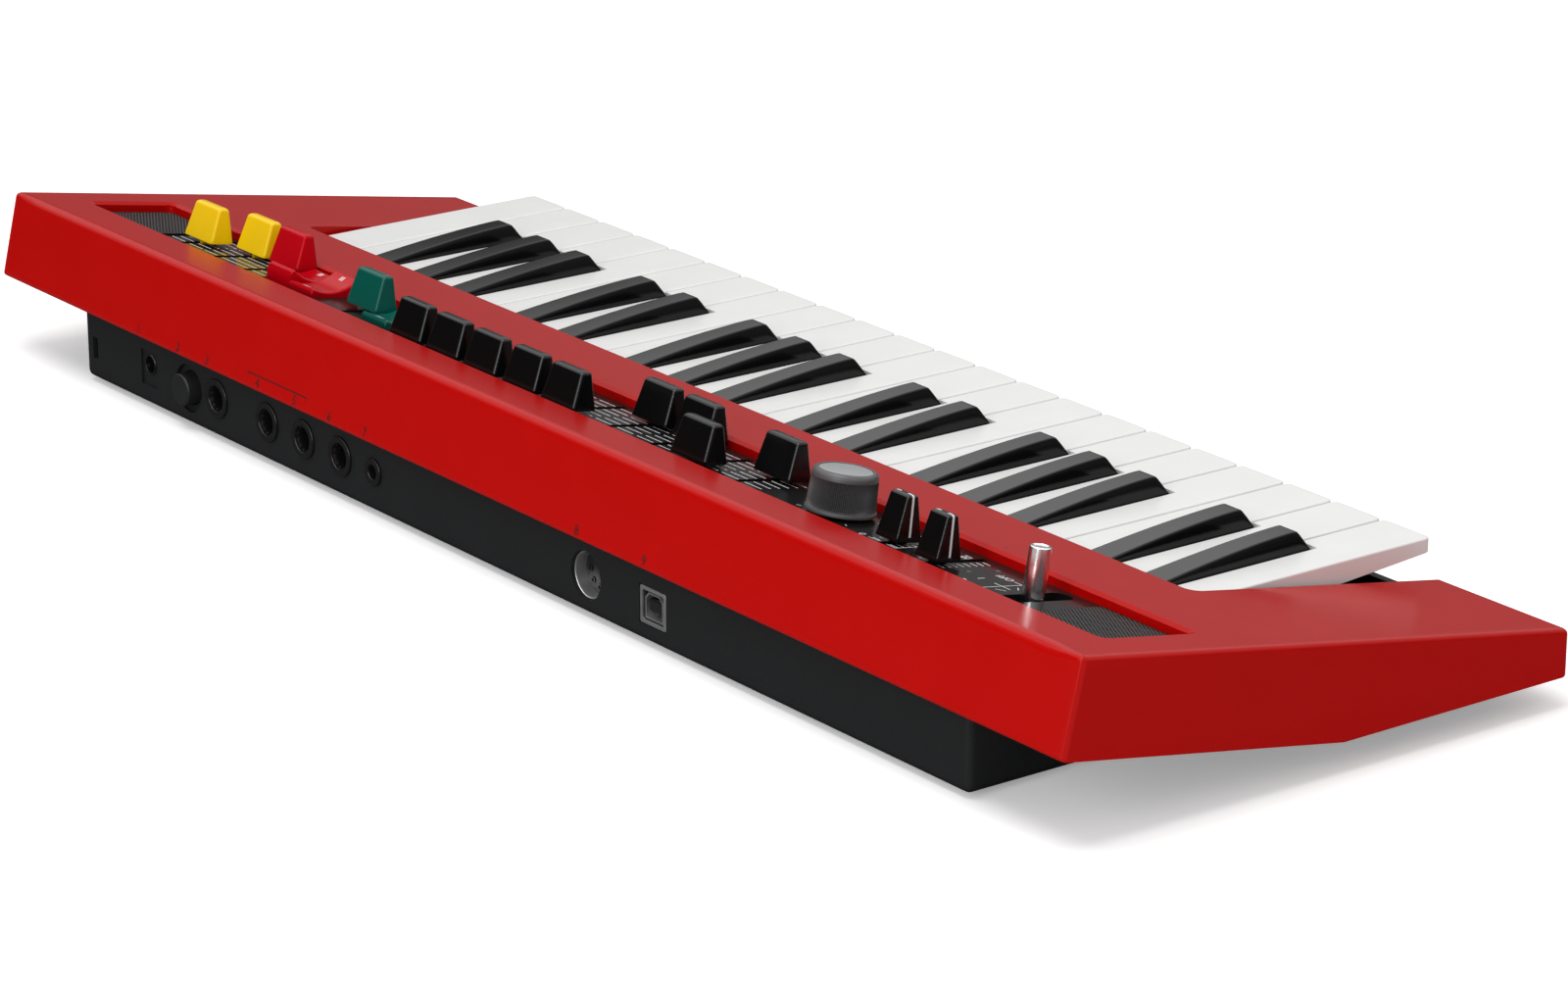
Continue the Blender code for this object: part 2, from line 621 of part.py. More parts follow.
def make_base_case():
    """The black tub: floor, walls, flange, hinge bar, feet and the sockets' barrels."""
    high = REAR_TOP_HEIGHT
    outline = [
        (BASE_FRONT_Y, FOOT_HEIGHT),
        (BASE_REAR_Y, FOOT_HEIGHT),
        (BASE_REAR_Y, high),
        (BASE_FRONT_Y, high),
    ]
    not_top = lambda a, b: min(a.z, b.z) < high - CUT_OVERSHOOT
    tub = outline_mesh("base_case", outline, -BASE_HALF, BASE_HALF, "YZ")
    tub = bevel_edges(tub, not_top, BASE_ROUNDING, FINE_ARC_STEPS)
    base = add_object("base_case", tub, "black_case")
    floor_top = FOOT_HEIGHT + BASE_WALL
    low = (-BASE_INNER_HALF, BASE_FRONT_Y + BASE_WALL, floor_top)
    inner_rear = BASE_REAR_Y - BASE_WALL
    inside = box_mesh("base_inside", low, (BASE_INNER_HALF, inner_rear, high + 2 * CUT_OVERSHOOT))
    front, rear = BASE_FRONT_Y - CUT_OVERSHOOT, BASE_REAR_Y + CUT_OVERSHOOT
    lift = FLANGE_THICKNESS / 2
    above = [
        (front, CHEEK_UNDERSIDE + lift),
        (KINK_Y, CHEEK_UNDERSIDE + lift),
        (rear, underside_height(rear) + lift),
        (rear, high + CUT_OVERSHOOT),
        (front, high + CUT_OVERSHOOT),
    ]
    above = outline_mesh("above_base", above, -CASE_HALF, CASE_HALF, "YZ")
    low = (-CASE_HALF - CUT_OVERSHOOT, front - CUT_OVERSHOOT, CHEEK_UNDERSIDE - FIT_GAP)
    high = (CASE_HALF + CUT_OVERSHOOT, BASE_FRONT_Y + BASE_WALL + OFF_PLANE, high)
    removed = [inside, above, box_mesh("below_cheeks", low, high)]
    boolean_all(base, "base_hollows", "DIFFERENCE", [add_object(mesh.name, mesh) for mesh in removed])
    flatten(base)
    added, openings = socket_meshes()
    added += [front_wall_mesh(floor_top), *hinge_bar_meshes(floor_top), *foot_meshes()]
    added = [add_object(mesh.name, mesh) for mesh in added]
    boolean_all(base, "base_parts", "UNION", added + [make_flange()])
    flatten(base)
    openings = [add_object(mesh.name, mesh) for mesh in openings + underside_openings()]
    boolean_all(base, "base_openings", "DIFFERENCE", openings + [make_data_mouth(), make_cover_groove()])
    return base


def make_data_mouth():
    """The cutter of the square data socket, with room left for the tongue in its middle."""
    _, (mesh,) = square_socket("data", DATA_X, DATA_Z, DATA_MOUTH, DATA_DEPTH)
    mouth = add_object("data_mouth", mesh)
    low = (DATA_X - DATA_TONGUE[0] / 2, BASE_REAR_Y - DATA_DEPTH - SOCKET_WALL, DATA_Z - DATA_TONGUE[1] / 2)
    high = (DATA_X + DATA_TONGUE[0] / 2, BASE_REAR_Y - BASE_WALL / 2, DATA_Z + DATA_TONGUE[1] / 2)
    cut(mouth, box_mesh("data_tongue", low, high))
    return mouth


def front_wall_mesh(floor_top):
    """The wall under the keys' fronts: upright up to a knee, then leaning in."""
    front_y = BASE_FRONT_Y + OFF_PLANE
    inner_y = BASE_FRONT_Y + BASE_WALL - OFF_PLANE
    outline = [
        (front_y, floor_top - BASE_WALL / 2),
        (inner_y, floor_top - BASE_WALL / 2),
        (inner_y, BASE_FRONT_KNEE),
        (BASE_FRONT_TOP[0] + BASE_WALL, BASE_FRONT_TOP[1]),
        BASE_FRONT_TOP,
        (front_y, BASE_FRONT_KNEE),
    ]
    half = WELL_HALF - RUN_GAP
    return outline_mesh("front_wall", outline, -half, half, "YZ")


def hinge_bar_meshes(floor_top):
    half = BASE_INNER_HALF + BASE_WALL / 2
    low = (-half, HINGE_Y - HINGE_WEB / 2, floor_top - BASE_WALL / 2)
    web = box_mesh("hinge_web", low, (half, HINGE_Y + HINGE_WEB / 2, HINGE_Z))
    half = KEYS_HALF + WELL_SIDE_GAP / 2
    sides = 12
    outline = arc((HINGE_Y, HINGE_Z), HINGE_RADIUS, 0, 2 * pi * (sides - 1) / sides, sides - 1)
    return [web, outline_mesh("hinge_bar", outline, -half, half, "YZ")]


def foot_meshes():
    """Four short round feet that run up into the floor."""
    meshes = []
    for x in (-FOOT_X, FOOT_X):
        for y in (FOOT_FRONT_Y, FOOT_REAR_Y):
            meshes.append(post_mesh("foot", FOOT_RADIUS, x, y, 0, FOOT_HEIGHT + BASE_WALL / 2))
    return meshes


def make_cover_groove():
    """The cutter of the groove round the battery cover, open in its middle."""
    x, y = COVER_PLACE
    half_x, half_y = COVER_SIZE[0] / 2, COVER_SIZE[1] / 2
    top = FOOT_HEIGHT + COVER_GROOVE
    upright = lambda a, b: abs(a.z - b.z) > COVER_GROOVE
    rings = []
    for grow, low in ((0, -CUT_OVERSHOOT), (-COVER_GROOVE, -2 * CUT_OVERSHOOT)):
        corner = Vector((half_x + grow, half_y + grow, 0))
        middle = Vector((x, y, 0))
        high = middle + corner
        high.z = top - min(grow, 0)
        box = box_mesh("cover_groove", middle - corner + Vector((0, 0, low)), high)
        rings.append(bevel_edges(box, upright, COVER_CORNER + grow, ARC_STEPS))
    groove = add_object("cover_groove", rings[0])
    cut(groove, rings[1])
    return groove


def underside_openings():
    """The thumb hold of the battery cover, and the countersinks of the case screws."""
    x, y = COVER_PLACE[0], COVER_PLACE[1] + COVER_SIZE[1] / 2 - COVER_HOLD[1]
    low = (x - COVER_HOLD[0] / 2, y - COVER_HOLD[1] / 2, -CUT_OVERSHOOT)
    high = (x + COVER_HOLD[0] / 2, y + COVER_HOLD[1] / 2, FOOT_HEIGHT + COVER_HOLD_DEPTH)
    meshes = [box_mesh("cover_hold", low, high)]
    top = FOOT_HEIGHT + SCREW_DEPTH
    for x in SCREW_XS:
        for y in SCREW_YS:
            meshes.append(post_mesh("screw", SCREW_RADIUS, x, y, -CUT_OVERSHOOT, top, BORE_SIDES))
    return meshes


def round_socket(name, x, ring, mouth, bore, barrel, length):
    """A jack: a raised ring and a barrel to add, a bore and a funnel mouth to cut."""
    inner = BASE_REAR_Y - length
    buried = BASE_REAR_Y - BASE_WALL / 2
    outside = BASE_REAR_Y + JACK_RING_RISE
    past = BASE_REAR_Y + CUT_OVERSHOOT
    added = [
        cone_mesh(f"{name}_ring", ring, ring - JACK_RING_RISE / 2, buried, outside, x, JACK_Z),
        cone_mesh(f"{name}_barrel", barrel, barrel, inner, buried - OFF_PLANE, x, JACK_Z, BORE_SIDES),
    ]
    low, high = outside - JACK_MOUTH_DEPTH, outside + FIT_GAP
    openings = [
        cone_mesh(f"{name}_bore", bore, bore, inner + SOCKET_WALL, past, x, JACK_Z, BORE_SIDES),
        cone_mesh(f"{name}_mouth", bore - OFF_PLANE, mouth, low, high, x, JACK_Z, BORE_SIDES),
    ]
    return added, openings


def socket_meshes():
    """What the rear sockets add to the tub, and what they cut from it."""
    found = []
    for i, x in enumerate(JACK_XS):
        radii = (JACK_RING_RADIUS, JACK_MOUTH_RADIUS, JACK_BORE_RADIUS, JACK_BARREL_RADIUS)
        found.append(round_socket(f"jack_{i + 1}", x, *radii, JACK_BARREL_LENGTH))
    radii = (AUX_RING_RADIUS, AUX_MOUTH_RADIUS, AUX_BORE_RADIUS, AUX_BARREL_RADIUS)
    found.append(round_socket("aux", AUX_X, *radii, AUX_BARREL_LENGTH))
    found.append((square_socket("data", DATA_X, DATA_Z, DATA_MOUTH, DATA_DEPTH)[0], []))
    found.append(square_socket("data_plate", DATA_X, DATA_Z, DATA_PLATE, DATA_PLATE_RECESS))
    found.append(square_socket("power_inlet", DC_X, DC_Z, DC_PLATE, DC_PLATE_RECESS))
    added = [mesh for more, _ in found for mesh in more]
    openings = [mesh for _, more in found for mesh in more]
    outside = BASE_REAR_Y + CUT_OVERSHOOT
    floor_y = BASE_REAR_Y - DIN_DEPTH
    buried = BASE_REAR_Y - BASE_WALL / 2
    radius = DIN_BARREL_RADIUS
    added.append(cone_mesh("din_barrel", radius, radius, floor_y - SOCKET_WALL, buried, DIN_X, DIN_Z))
    radius = DIN_MOUTH_RADIUS
    openings.append(cone_mesh("din_mouth", radius, radius, floor_y, outside, DIN_X, DIN_Z))
    half_x, half_z = DC_PLATE[0] / 2, DC_PLATE[1] / 2
    low = (DC_X - half_x, BASE_REAR_Y - DC_DEPTH - SOCKET_WALL, DC_Z - half_z)
    high = (DC_X + half_x, BASE_REAR_Y - BASE_WALL / 2, DC_Z + half_z)
    added.append(box_mesh("power_inlet_body", low, high))
    floor_y = BASE_REAR_Y - DC_DEPTH
    radius = DC_HOLE_RADIUS
    hole = cone_mesh("power_inlet_hole", radius, radius, floor_y, outside, DC_X, DC_HOLE_Z, BORE_SIDES)
    openings.append(hole)
    recess = BASE_REAR_Y - POWER_RECESS_DEPTH
    radius = POWER_RECESS_RADIUS
    openings.append(cone_mesh("power_recess", radius, radius, recess, outside, POWER_X, POWER_Z))
    hole = POWER_RADIUS + RUN_GAP
    through = BASE_REAR_Y - 2 * BASE_WALL
    openings.append(cone_mesh("power_hole", hole, hole, through, outside + OFF_PLANE, POWER_X, POWER_Z))
    half_x, half_z = LOCK_SLOT[0] / 2, LOCK_SLOT[1] / 2
    low = (LOCK_X - half_x, through, LOCK_Z - half_z)
    openings.append(box_mesh("lock_slot", low, (LOCK_X + half_x, outside, LOCK_Z + half_z)))
    return added, openings


def square_socket(name, x, z, mouth, depth):
    """A square recess in the rear wall, with walls of its own behind it where it is deep."""
    half_x, half_z = mouth[0] / 2, mouth[1] / 2
    floor_y = BASE_REAR_Y - depth
    added = []
    if depth > BASE_WALL:
        low = (x - half_x - SOCKET_WALL, floor_y - SOCKET_WALL, z - half_z - SOCKET_WALL)
        high = (x + half_x + SOCKET_WALL, BASE_REAR_Y - BASE_WALL / 2, z + half_z + SOCKET_WALL)
        added.append(box_mesh(f"{name}_shell", low, high))
    low = (x - half_x, floor_y, z - half_z)
    high = (x + half_x, BASE_REAR_Y + CUT_OVERSHOOT, z + half_z)
    return added, [box_mesh(f"{name}_mouth", low, high)]


def white_side_outline():
    """A white key from its side, about its hinge: nose, underside, tail and the hook over the bar."""
    front = KEY_FRONT_Y - HINGE_Y
    top = KEY_TOP - HINGE_Z
    nose = arc((front + KEY_EDGE_RADIUS, top - KEY_EDGE_RADIUS), KEY_EDGE_RADIUS, pi, pi / 2, 2)
    tail_top = top - TAIL_STEP
    step_y = PANEL_FRONT_Y - BLACK_REAR_GAP - HINGE_Y
    return (
        [(front, top - KEY_NOSE_HEIGHT)]
        + nose
        + [(step_y, top), (step_y, tail_top), (TAIL_END, tail_top)]
        + hook_outline()
        + [(KEY_UNDERSIDE_Y - HINGE_Y, KEY_UNDERSIDE - HINGE_Z)]
    )


def hook_outline():
    """The tail's underside with the half-round hook, from its rear end to the front of the hook."""
    radius = HINGE_RADIUS + FIT_GAP
    under = KEY_UNDERSIDE - HINGE_Z
    return [(TAIL_END, under), (radius, under)] + arc((0, 0), radius, 0, pi, 8) + [(-radius, under)]


def white_plan_outline(left_cut, right_cut):
    """A white key from above, about its middle and its hinge, with its black-key notches."""
    half = (KEY_PITCH - KEY_GAP) / 2
    front = KEY_FRONT_Y - HINGE_Y
    notch = NOTCH_FRONT_Y - HINGE_Y
    rear = TAIL_END + CUT_OVERSHOOT
    radius = KEY_CORNER_RADIUS
    outline = arc((-half + radius, front + radius), radius, pi, 3 * pi / 2)
    outline += arc((half - radius, front + radius), radius, 3 * pi / 2, 2 * pi)
    if right_cut:
        outline += [(half, notch), (half - right_cut, notch)]
    outline += [(half - right_cut, rear), (-half + left_cut, rear)]
    if left_cut:
        outline += [(-half + left_cut, notch), (-half, notch)]
    return outline


def white_key_mesh(name, left_cut, right_cut):
    """The side outline and the plan outline crossed, which leaves one solid."""
    half = KEY_PITCH / 2
    side = add_object(f"{name}_side", outline_mesh(name, white_side_outline(), -half, half, "YZ"))
    low = KEY_UNDERSIDE - HINGE_Z - CUT_OVERSHOOT
    high = KEY_TOP - HINGE_Z + CUT_OVERSHOOT
    outline = white_plan_outline(left_cut, right_cut)
    plan = add_object(f"{name}_plan", outline_mesh(name, outline, low, high, "XY"))
    boolean(side, plan, "INTERSECT")
    bpy.context.view_layer.update()
    mesh = bpy.data.meshes.new_from_object(side.evaluated_get(bpy.context.evaluated_depsgraph_get()))
    mesh.name = name
    bpy.data.objects.remove(side)
    bpy.data.objects.remove(plan)
    mesh.materials.clear()
    mesh.materials.append(make_material(name, *COLOURS["white"]))
    return mesh


def notch_cut(side, shift):
    """How far a black key's notch reaches into a white key on one side of their shared edge."""
    return BLACK_WIDTH / 2 + BLACK_SIDE_GAP - side * shift - KEY_GAP / 2


def black_key_mesh():
    """A side outline with a slanted front and a falling top, its sides leaned in above the white keys."""
    front = BLACK_FRONT_Y - HINGE_Y
    top = KEY_TOP - HINGE_Z
    rear = PANEL_FRONT_Y - BLACK_REAR_GAP - HINGE_Y
    crest = front + BLACK_FRONT_SLANT
    steps = [i / BLACK_TOP_STEPS for i in range(BLACK_TOP_STEPS + 1)]
    fall = BLACK_RISE - BLACK_REAR_RISE
    ridge = [(crest + (rear - crest) * i, top + BLACK_RISE - fall * i**BLACK_TOP_CURVE) for i in steps]
    outline = (
        [(front, KEY_UNDERSIDE - HINGE_Z), (front, top)]
        + ridge
        + [(rear, top - TAIL_STEP), (TAIL_END, top - TAIL_STEP)]
        + hook_outline()
    )
    half = BLACK_WIDTH / 2
    mesh = outline_mesh("black_key", outline, -half, half, "YZ")
    bm = bmesh.new()
    bm.from_mesh(mesh)
    lean = (BLACK_WIDTH - BLACK_TOP_WIDTH) / 2
    for side in (-1, 1):
        cut_all = bm.verts[:] + bm.edges[:] + bm.faces[:]
        normal = Vector((side * BLACK_RISE, 0, lean)).normalized()
        done = bmesh.ops.bisect_plane(
            bm, geom=cut_all, plane_co=(side * half, 0, top - OFF_PLANE), plane_no=normal, clear_outer=True
        )
        edges = [item for item in done["geom_cut"] if isinstance(item, bmesh.types.BMEdge)]
        bmesh.ops.holes_fill(bm, edges=edges)
    bmesh.ops.recalc_face_normals(bm, faces=bm.faces)
    bm.to_mesh(mesh)
    bm.free()
    inner = half - lean - BLACK_EDGE
    on_ridge = lambda a, b: min(a.z, b.z) > top + BLACK_EDGE and abs(a.x + b.x) > 2 * inner
    bevel_edges(mesh, on_ridge, BLACK_EDGE, 2)
    mesh.materials.append(make_material("black_key", *COLOURS["black_key"]))
    return mesh


def make_keys():
    """Seven white outlines and the last one, shared by the octaves, and one black key."""
    shared = {}
    number = 0
    last = WHITE_COUNT - 1
    white = 0
    for octave in range(OCTAVES + 1):
        for note in range(12):
            if white > last:
                break
            number += 1
            edge = white * KEY_PITCH - KEYS_HALF
            name = f"key_{number:02d}_{NOTE_NAMES[note]}"
            if note in BLACK_SHIFTS:
                if "black" not in shared:
                    shared["black"] = black_key_mesh()
                obj = add_object(name, shared["black"], "black_key")
                obj.location = (edge + BLACK_SHIFTS[note], HINGE_Y, HINGE_Z)
                continue
            left = notch_cut(-1, BLACK_SHIFTS[note - 1]) if note - 1 in BLACK_SHIFTS else 0.0
            right = notch_cut(1, BLACK_SHIFTS[note + 1]) if note + 1 in BLACK_SHIFTS else 0.0
            if white == last:
                right = 0.0
            kind = (note, white == last)
            if kind not in shared:
                shared[kind] = white_key_mesh(f"white_{NOTE_NAMES[note]}", left, right)
            obj = add_object(name, shared[kind], "white")
            obj.location = (edge + KEY_PITCH / 2, HINGE_Y, HINGE_Z)
            white += 1


def cap_object(name, colour, height, foot, head, ridge):
    """A slider's tapered cap over its stem, about the panel's surface under its middle."""
    low = (-head[0] / 2, -head[1] / 2, CAP_LIFT)
    high = (head[0] / 2, head[1] / 2, CAP_LIFT + height)
    mesh = box_mesh(name, low, high, (foot[0] / 2, foot[1] / 2))
    above_foot = lambda a, b: max(a.z, b.z) > CAP_LIFT + height / 2
    cap = add_object(name, bevel_edges(mesh, above_foot, CAP_ROUNDING, 2), colour, SLOPE)
    stem = box_mesh(
        f"{name}_stem",
        (-STEM_WIDTH / 2, -STEM_LENGTH / 2, -PANEL_THICKNESS - STEM_REACH),
        (STEM_WIDTH / 2, STEM_LENGTH / 2, CAP_LIFT + CAP_HEIGHT / 4),
    )
    join(cap, stem, cap)
    if ridge:
        join(
            cap,
            box_mesh(
                f"{name}_ridge",
                (-head[0] / 2 + CAP_ROUNDING, -ridge / 2, CAP_LIFT + height - CAP_ROUNDING),
                (head[0] / 2 - CAP_ROUNDING, ridge / 2, CAP_LIFT + height + ridge / 4),
            ),
            cap,
        )
    return cap


def make_sliders():
    for name, x, rest, colour, narrow in slider_table():
        if narrow:
            sizes = (NARROW_CAP_HEIGHT, NARROW_CAP_FOOT, NARROW_CAP_HEAD, NARROW_CAP_RIDGE)
            cap = cap_object(name, colour, *sizes)
        else:
            cap = cap_object(name, colour, CAP_HEIGHT, CAP_FOOT, CAP_HEAD, None)
        cap.location = (x, SLIDER_FRONT + rest, PANEL_TOP)


def make_lever():
    edge = LEVER_EDGE
    below = -PANEL_THICKNESS - STEM_REACH
    profile = [
        (0, LEVER_HEIGHT),
        (LEVER_RADIUS - edge, LEVER_HEIGHT),
        (LEVER_RADIUS, LEVER_HEIGHT - edge),
        (LEVER_RADIUS, below),
        (0, below),
    ]
    lever = lathe("rotary_lever", profile, TURN_STEPS, "steel", SLOPE)
    lever.location = (LEVER_X, LEVER_SLOPE, PANEL_TOP)


def make_knob():
    """A turned core with skirt, shaft and sunk insert, inside a tapered band of ribs."""
    below = -PANEL_THICKNESS - STEM_REACH
    skirt_top = KNOB_LIFT + KNOB_SKIRT_HEIGHT
    insert_top = KNOB_HEIGHT - KNOB_INSERT_DROP
    core_foot = KNOB_FOOT_RADIUS - KNOB_RIB_DEPTH - OFF_PLANE
    profile = [
        (0, insert_top),
        (KNOB_INSERT_RADIUS, insert_top),
        (KNOB_INSERT_RADIUS, KNOB_HEIGHT),
        (KNOB_HEAD_RADIUS - KNOB_SHOULDER, KNOB_HEIGHT),
        (KNOB_HEAD_RADIUS, KNOB_HEIGHT - KNOB_SHOULDER),
        (KNOB_HEAD_RADIUS, KNOB_RIB_TOP),
        (core_foot, skirt_top),
        (KNOB_SKIRT_RADIUS, skirt_top),
        (KNOB_SKIRT_RADIUS, KNOB_LIFT),
        (KNOB_SHAFT_RADIUS, KNOB_LIFT),
        (KNOB_SHAFT_RADIUS, below),
        (0, below),
    ]
    knob = lathe("wave_knob", profile, TURN_STEPS, "knob", SLOPE)
    knob.location = (KNOB_X, KNOB_SLOPE, PANEL_TOP)
    flatten(knob)
    join(knob, knob_ribs_mesh(skirt_top - OFF_PLANE), knob)


def knob_ribs_mesh(low):
    """The ribs as a toothed disc: every second point of a circle drawn in, pulled up and narrowed."""
    bm = bmesh.new()
    bmesh.ops.create_circle(bm, cap_ends=True, segments=2 * KNOB_RIBS, radius=KNOB_FOOT_RADIUS)
    valleys = sorted(bm.verts, key=lambda vert: vert.index)[::2]
    inner = 1 - KNOB_RIB_DEPTH / KNOB_FOOT_RADIUS
    bmesh.ops.scale(bm, vec=(inner, inner, 1), verts=valleys)
    raised = bmesh.ops.extrude_face_region(bm, geom=bm.faces[:])["geom"]
    raised = [item for item in raised if isinstance(item, bmesh.types.BMVert)]
    narrow = (KNOB_HEAD_RADIUS + KNOB_RIB_DEPTH) / KNOB_FOOT_RADIUS
    bmesh.ops.scale(bm, vec=(narrow, narrow, 1), verts=raised)
    bmesh.ops.translate(bm, vec=(0, 0, KNOB_RIB_TOP - OFF_PLANE - low), verts=raised)
    bmesh.ops.translate(bm, vec=(0, 0, low), verts=bm.verts)
    bmesh.ops.recalc_face_normals(bm, faces=bm.faces)
    return mesh_from(bm, "knob_ribs")


def rocker_outline():
    """A rocker from its side, about its pivot: a dished top between raised ends and a round belly."""
    rise = ROCKER_END_RISE + ROCKER_PIVOT_DEPTH
    dish = ROCKER_DISH_RISE + ROCKER_PIVOT_DEPTH
    lip = ROCKER_HALF - ROCKER_LIP
    steps = [i / ROCKER_DISH_STEPS for i in range(-ROCKER_DISH_STEPS, ROCKER_DISH_STEPS + 1)]
    top = [(lip * i, dish + (rise - dish) * i**2) for i in steps]
    belly = arc((0, 0), ROCKER_BELLY, -ROCKER_BELLY_START, ROCKER_BELLY_START - pi, 6)
    foot = ROCKER_HALF - ROCKER_UNDERCUT
    lip_low = rise - ROCKER_LIP_DROP
    front = [(-foot, -OFF_PLANE), (-ROCKER_HALF, lip_low)]
    return top + [(ROCKER_HALF, lip_low), (foot, -OFF_PLANE)] + belly + front


def make_rockers():
    for name, (x, side, colour) in ROCKERS.items():
        half = ROCKER_WIDTH / 2
        mesh = outline_mesh(name, rocker_outline(), -half, half, "YZ")
        rocker = add_object(name, mesh, colour, SLOPE)
        rocker.location = (x, ROCKER_SLOPE, PANEL_TOP - ROCKER_PIVOT_DEPTH)
        rocker.rotation_euler = (side * ROCKER_TILT, 0, 0)
        reach = half + ROCKER_PIN_REACH
        outline = arc((0, 0), ROCKER_PIN_RADIUS, 0, 2 * pi * 7 / 8, 7)
        join(rocker, outline_mesh(f"{name}_pin", outline, -reach, reach, "YZ"), rocker)


def make_power_button():
    profile = [
        (0, POWER_RISE),
        (POWER_RADIUS - POWER_EDGE, POWER_RISE),
        (POWER_RADIUS, POWER_RISE - POWER_EDGE),
        (POWER_RADIUS, -POWER_BODY_LENGTH),
        (0, -POWER_BODY_LENGTH),
    ]
    button = lathe("power_button", profile, TURN_STEPS, "black_cap")
    button.location = (POWER_X, BASE_REAR_Y, POWER_Z)
    button.rotation_euler = (-pi / 2, 0, 0)


make_top_case()
make_base_case()
make_keys()
make_sliders()
make_lever()
make_knob()
make_rockers()
make_power_button()
for part in PARTS.objects:
    if part.type == "MESH":
        part.data.shade_smooth()
        part.data.set_sharp_from_angle(angle=radians(30))
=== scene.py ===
"""Combo organ with 37 mini keys, dressed over its CAD frame.

Metres, with +X to the player's right, +Y to the rear and +Z up. Each operator makes one piece or a group of like
pieces as surfaces worked out with numpy, and the last one makes the stage.
"""

from math import cos, pi, radians, sin

import bmesh
import bpy
import numpy as np
from bpy.props import FloatProperty, FloatVectorProperty, IntProperty, PointerProperty
from mathutils import Matrix, Vector


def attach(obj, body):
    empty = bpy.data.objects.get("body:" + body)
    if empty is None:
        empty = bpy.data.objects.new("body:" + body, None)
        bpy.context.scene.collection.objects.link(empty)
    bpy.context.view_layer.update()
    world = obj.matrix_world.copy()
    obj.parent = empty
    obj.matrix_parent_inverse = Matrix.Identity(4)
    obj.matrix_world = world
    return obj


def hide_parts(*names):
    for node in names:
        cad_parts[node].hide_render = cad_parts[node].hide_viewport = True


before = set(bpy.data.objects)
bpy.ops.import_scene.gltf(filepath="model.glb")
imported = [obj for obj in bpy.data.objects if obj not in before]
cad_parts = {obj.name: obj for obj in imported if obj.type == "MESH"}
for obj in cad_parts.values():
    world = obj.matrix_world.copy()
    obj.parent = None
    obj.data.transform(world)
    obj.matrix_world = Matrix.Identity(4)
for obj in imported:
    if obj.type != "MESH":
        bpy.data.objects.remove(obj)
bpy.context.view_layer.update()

bl_info = {
    "name": "Combo organ",
    "version": (1, 0, 0),
    "blender": (4, 5, 0),
    "location": "3D View > Sidebar > Organ",
    "description": "Dresses the CAD frame of a combo organ with 37 mini keys",
    "category": "Object",
}

# Top surface: a plane that rises to the rear. Places on it are x, distance up the slope, height over it
CASE_SLOPE = radians(10)
UP_SLOPE = np.array([0.0, cos(CASE_SLOPE), sin(CASE_SLOPE)])
OUT_OF_SLOPE = np.array([0.0, -sin(CASE_SLOPE), cos(CASE_SLOPE)])
SURFACE_ORIGIN = np.array([0.0, 0.0, 0.0376646])

# Rear face of the top case: its upper edge, and the directions up it and out of it
REAR_TOP = np.array([0.0, 0.0813, 0.052])
UP_REAR_FACE = np.array([0.0, -0.22619, 0.97408])
OUT_OF_REAR_FACE = np.array([0.0, 0.97408, 0.22619])

# Control recess: half its length, its front and rear up the slope, and the panel's height
RECESS_HALF = 0.2504
RECESS_FRONT = 0.0326
RECESS_REAR = 0.0634
PANEL = -0.0032

# Sliders: where their travel begins up the slope, and its length
SLIDER_FRONT = 0.0378
SLIDER_TRAVEL = 0.018

# Keys. A black key stands off the line between its white neighbours by its note's shift
KEY_COUNT = 37
WHITE_COUNT = 22
KEY_PITCH = 0.01952
KEY_FRONT_Y = -0.0848
KEY_TOP = 0.0345
KEY_NOSE = 0.0303
KEY_UNDERSIDE = 0.0265
KEY_UNDERSIDE_Y = -0.033
KEY_REAR_Y = 0.049
KEY_GAP = 0.0008
NOTCH_Y = -0.0537
HINGE_Y = 0.044
HINGE_Z = 0.030
HOOK_RADIUS = 0.0023
KEY_FOOT_EDGE = 0.0002
BLACK_FRONT_Y = -0.0521
BLACK_WIDTH = 0.0096
BLACK_TOP_WIDTH = 0.0069
BLACK_RISE = 0.0053
BLACK_REAR_RISE = 0.0008
BLACK_REAR_Y = 0.0019
BLACK_SLANT = 0.0036
BLACK_SIDE_GAP = 0.0007
BLACK_SHIFTS = {1: -0.0015, 3: 0.0015, 6: -0.0021, 8: 0.0, 10: 0.0021}
NOTE_NAMES = ("c", "c_sharp", "d", "d_sharp", "e", "f", "f_sharp", "g", "g_sharp", "a", "a_sharp", "b")

# Rear wall of the base case: x and z of what opens onto it
REAR_WALL_Y = 0.082
JACK_Z = 0.0141
JACKS = (("foot_jack", 0.1422), ("right_jack", 0.1133), ("left_jack", 0.0930), ("phones_jack", 0.0727))
AUX_JACK_X = 0.0547
POWER_BUTTON = (0.1590, 0.0131)
POWER_INLET = (0.1826, 0.0147)
ROUND_DATA_SOCKET = (-0.0532, 0.0128)
SQUARE_DATA_SOCKET = (-0.0848, 0.0123)

# Controls: x, place up the slope and height over it. All stems end at one depth below the panel
STEM_FOOT = -0.0054
KNOB_PLACE = (-0.1229, 0.0473, PANEL)
LEVER_PLACE = (-0.205, 0.0477, PANEL)
ROCKER_T = 0.0455
ROCKER_PIVOT = 0.0022
ROCKER_TIP = radians(9.5)
ROCKER_HALF = 0.0088
FOOTAGE_REST = (0.0018, 0.0159, 0.0003, 0.0, 0.018, 0.0177, 0.018, 0.0176, 0.0172)
FOOTAGE_X = -0.0868 + 0.02005 * np.arange(len(FOOTAGE_REST))
COLOURED_SLOTS = (0.1684, 0.1863, 0.2058)
OCTAVE_X = -0.1704
VOLUME_X = -0.1507

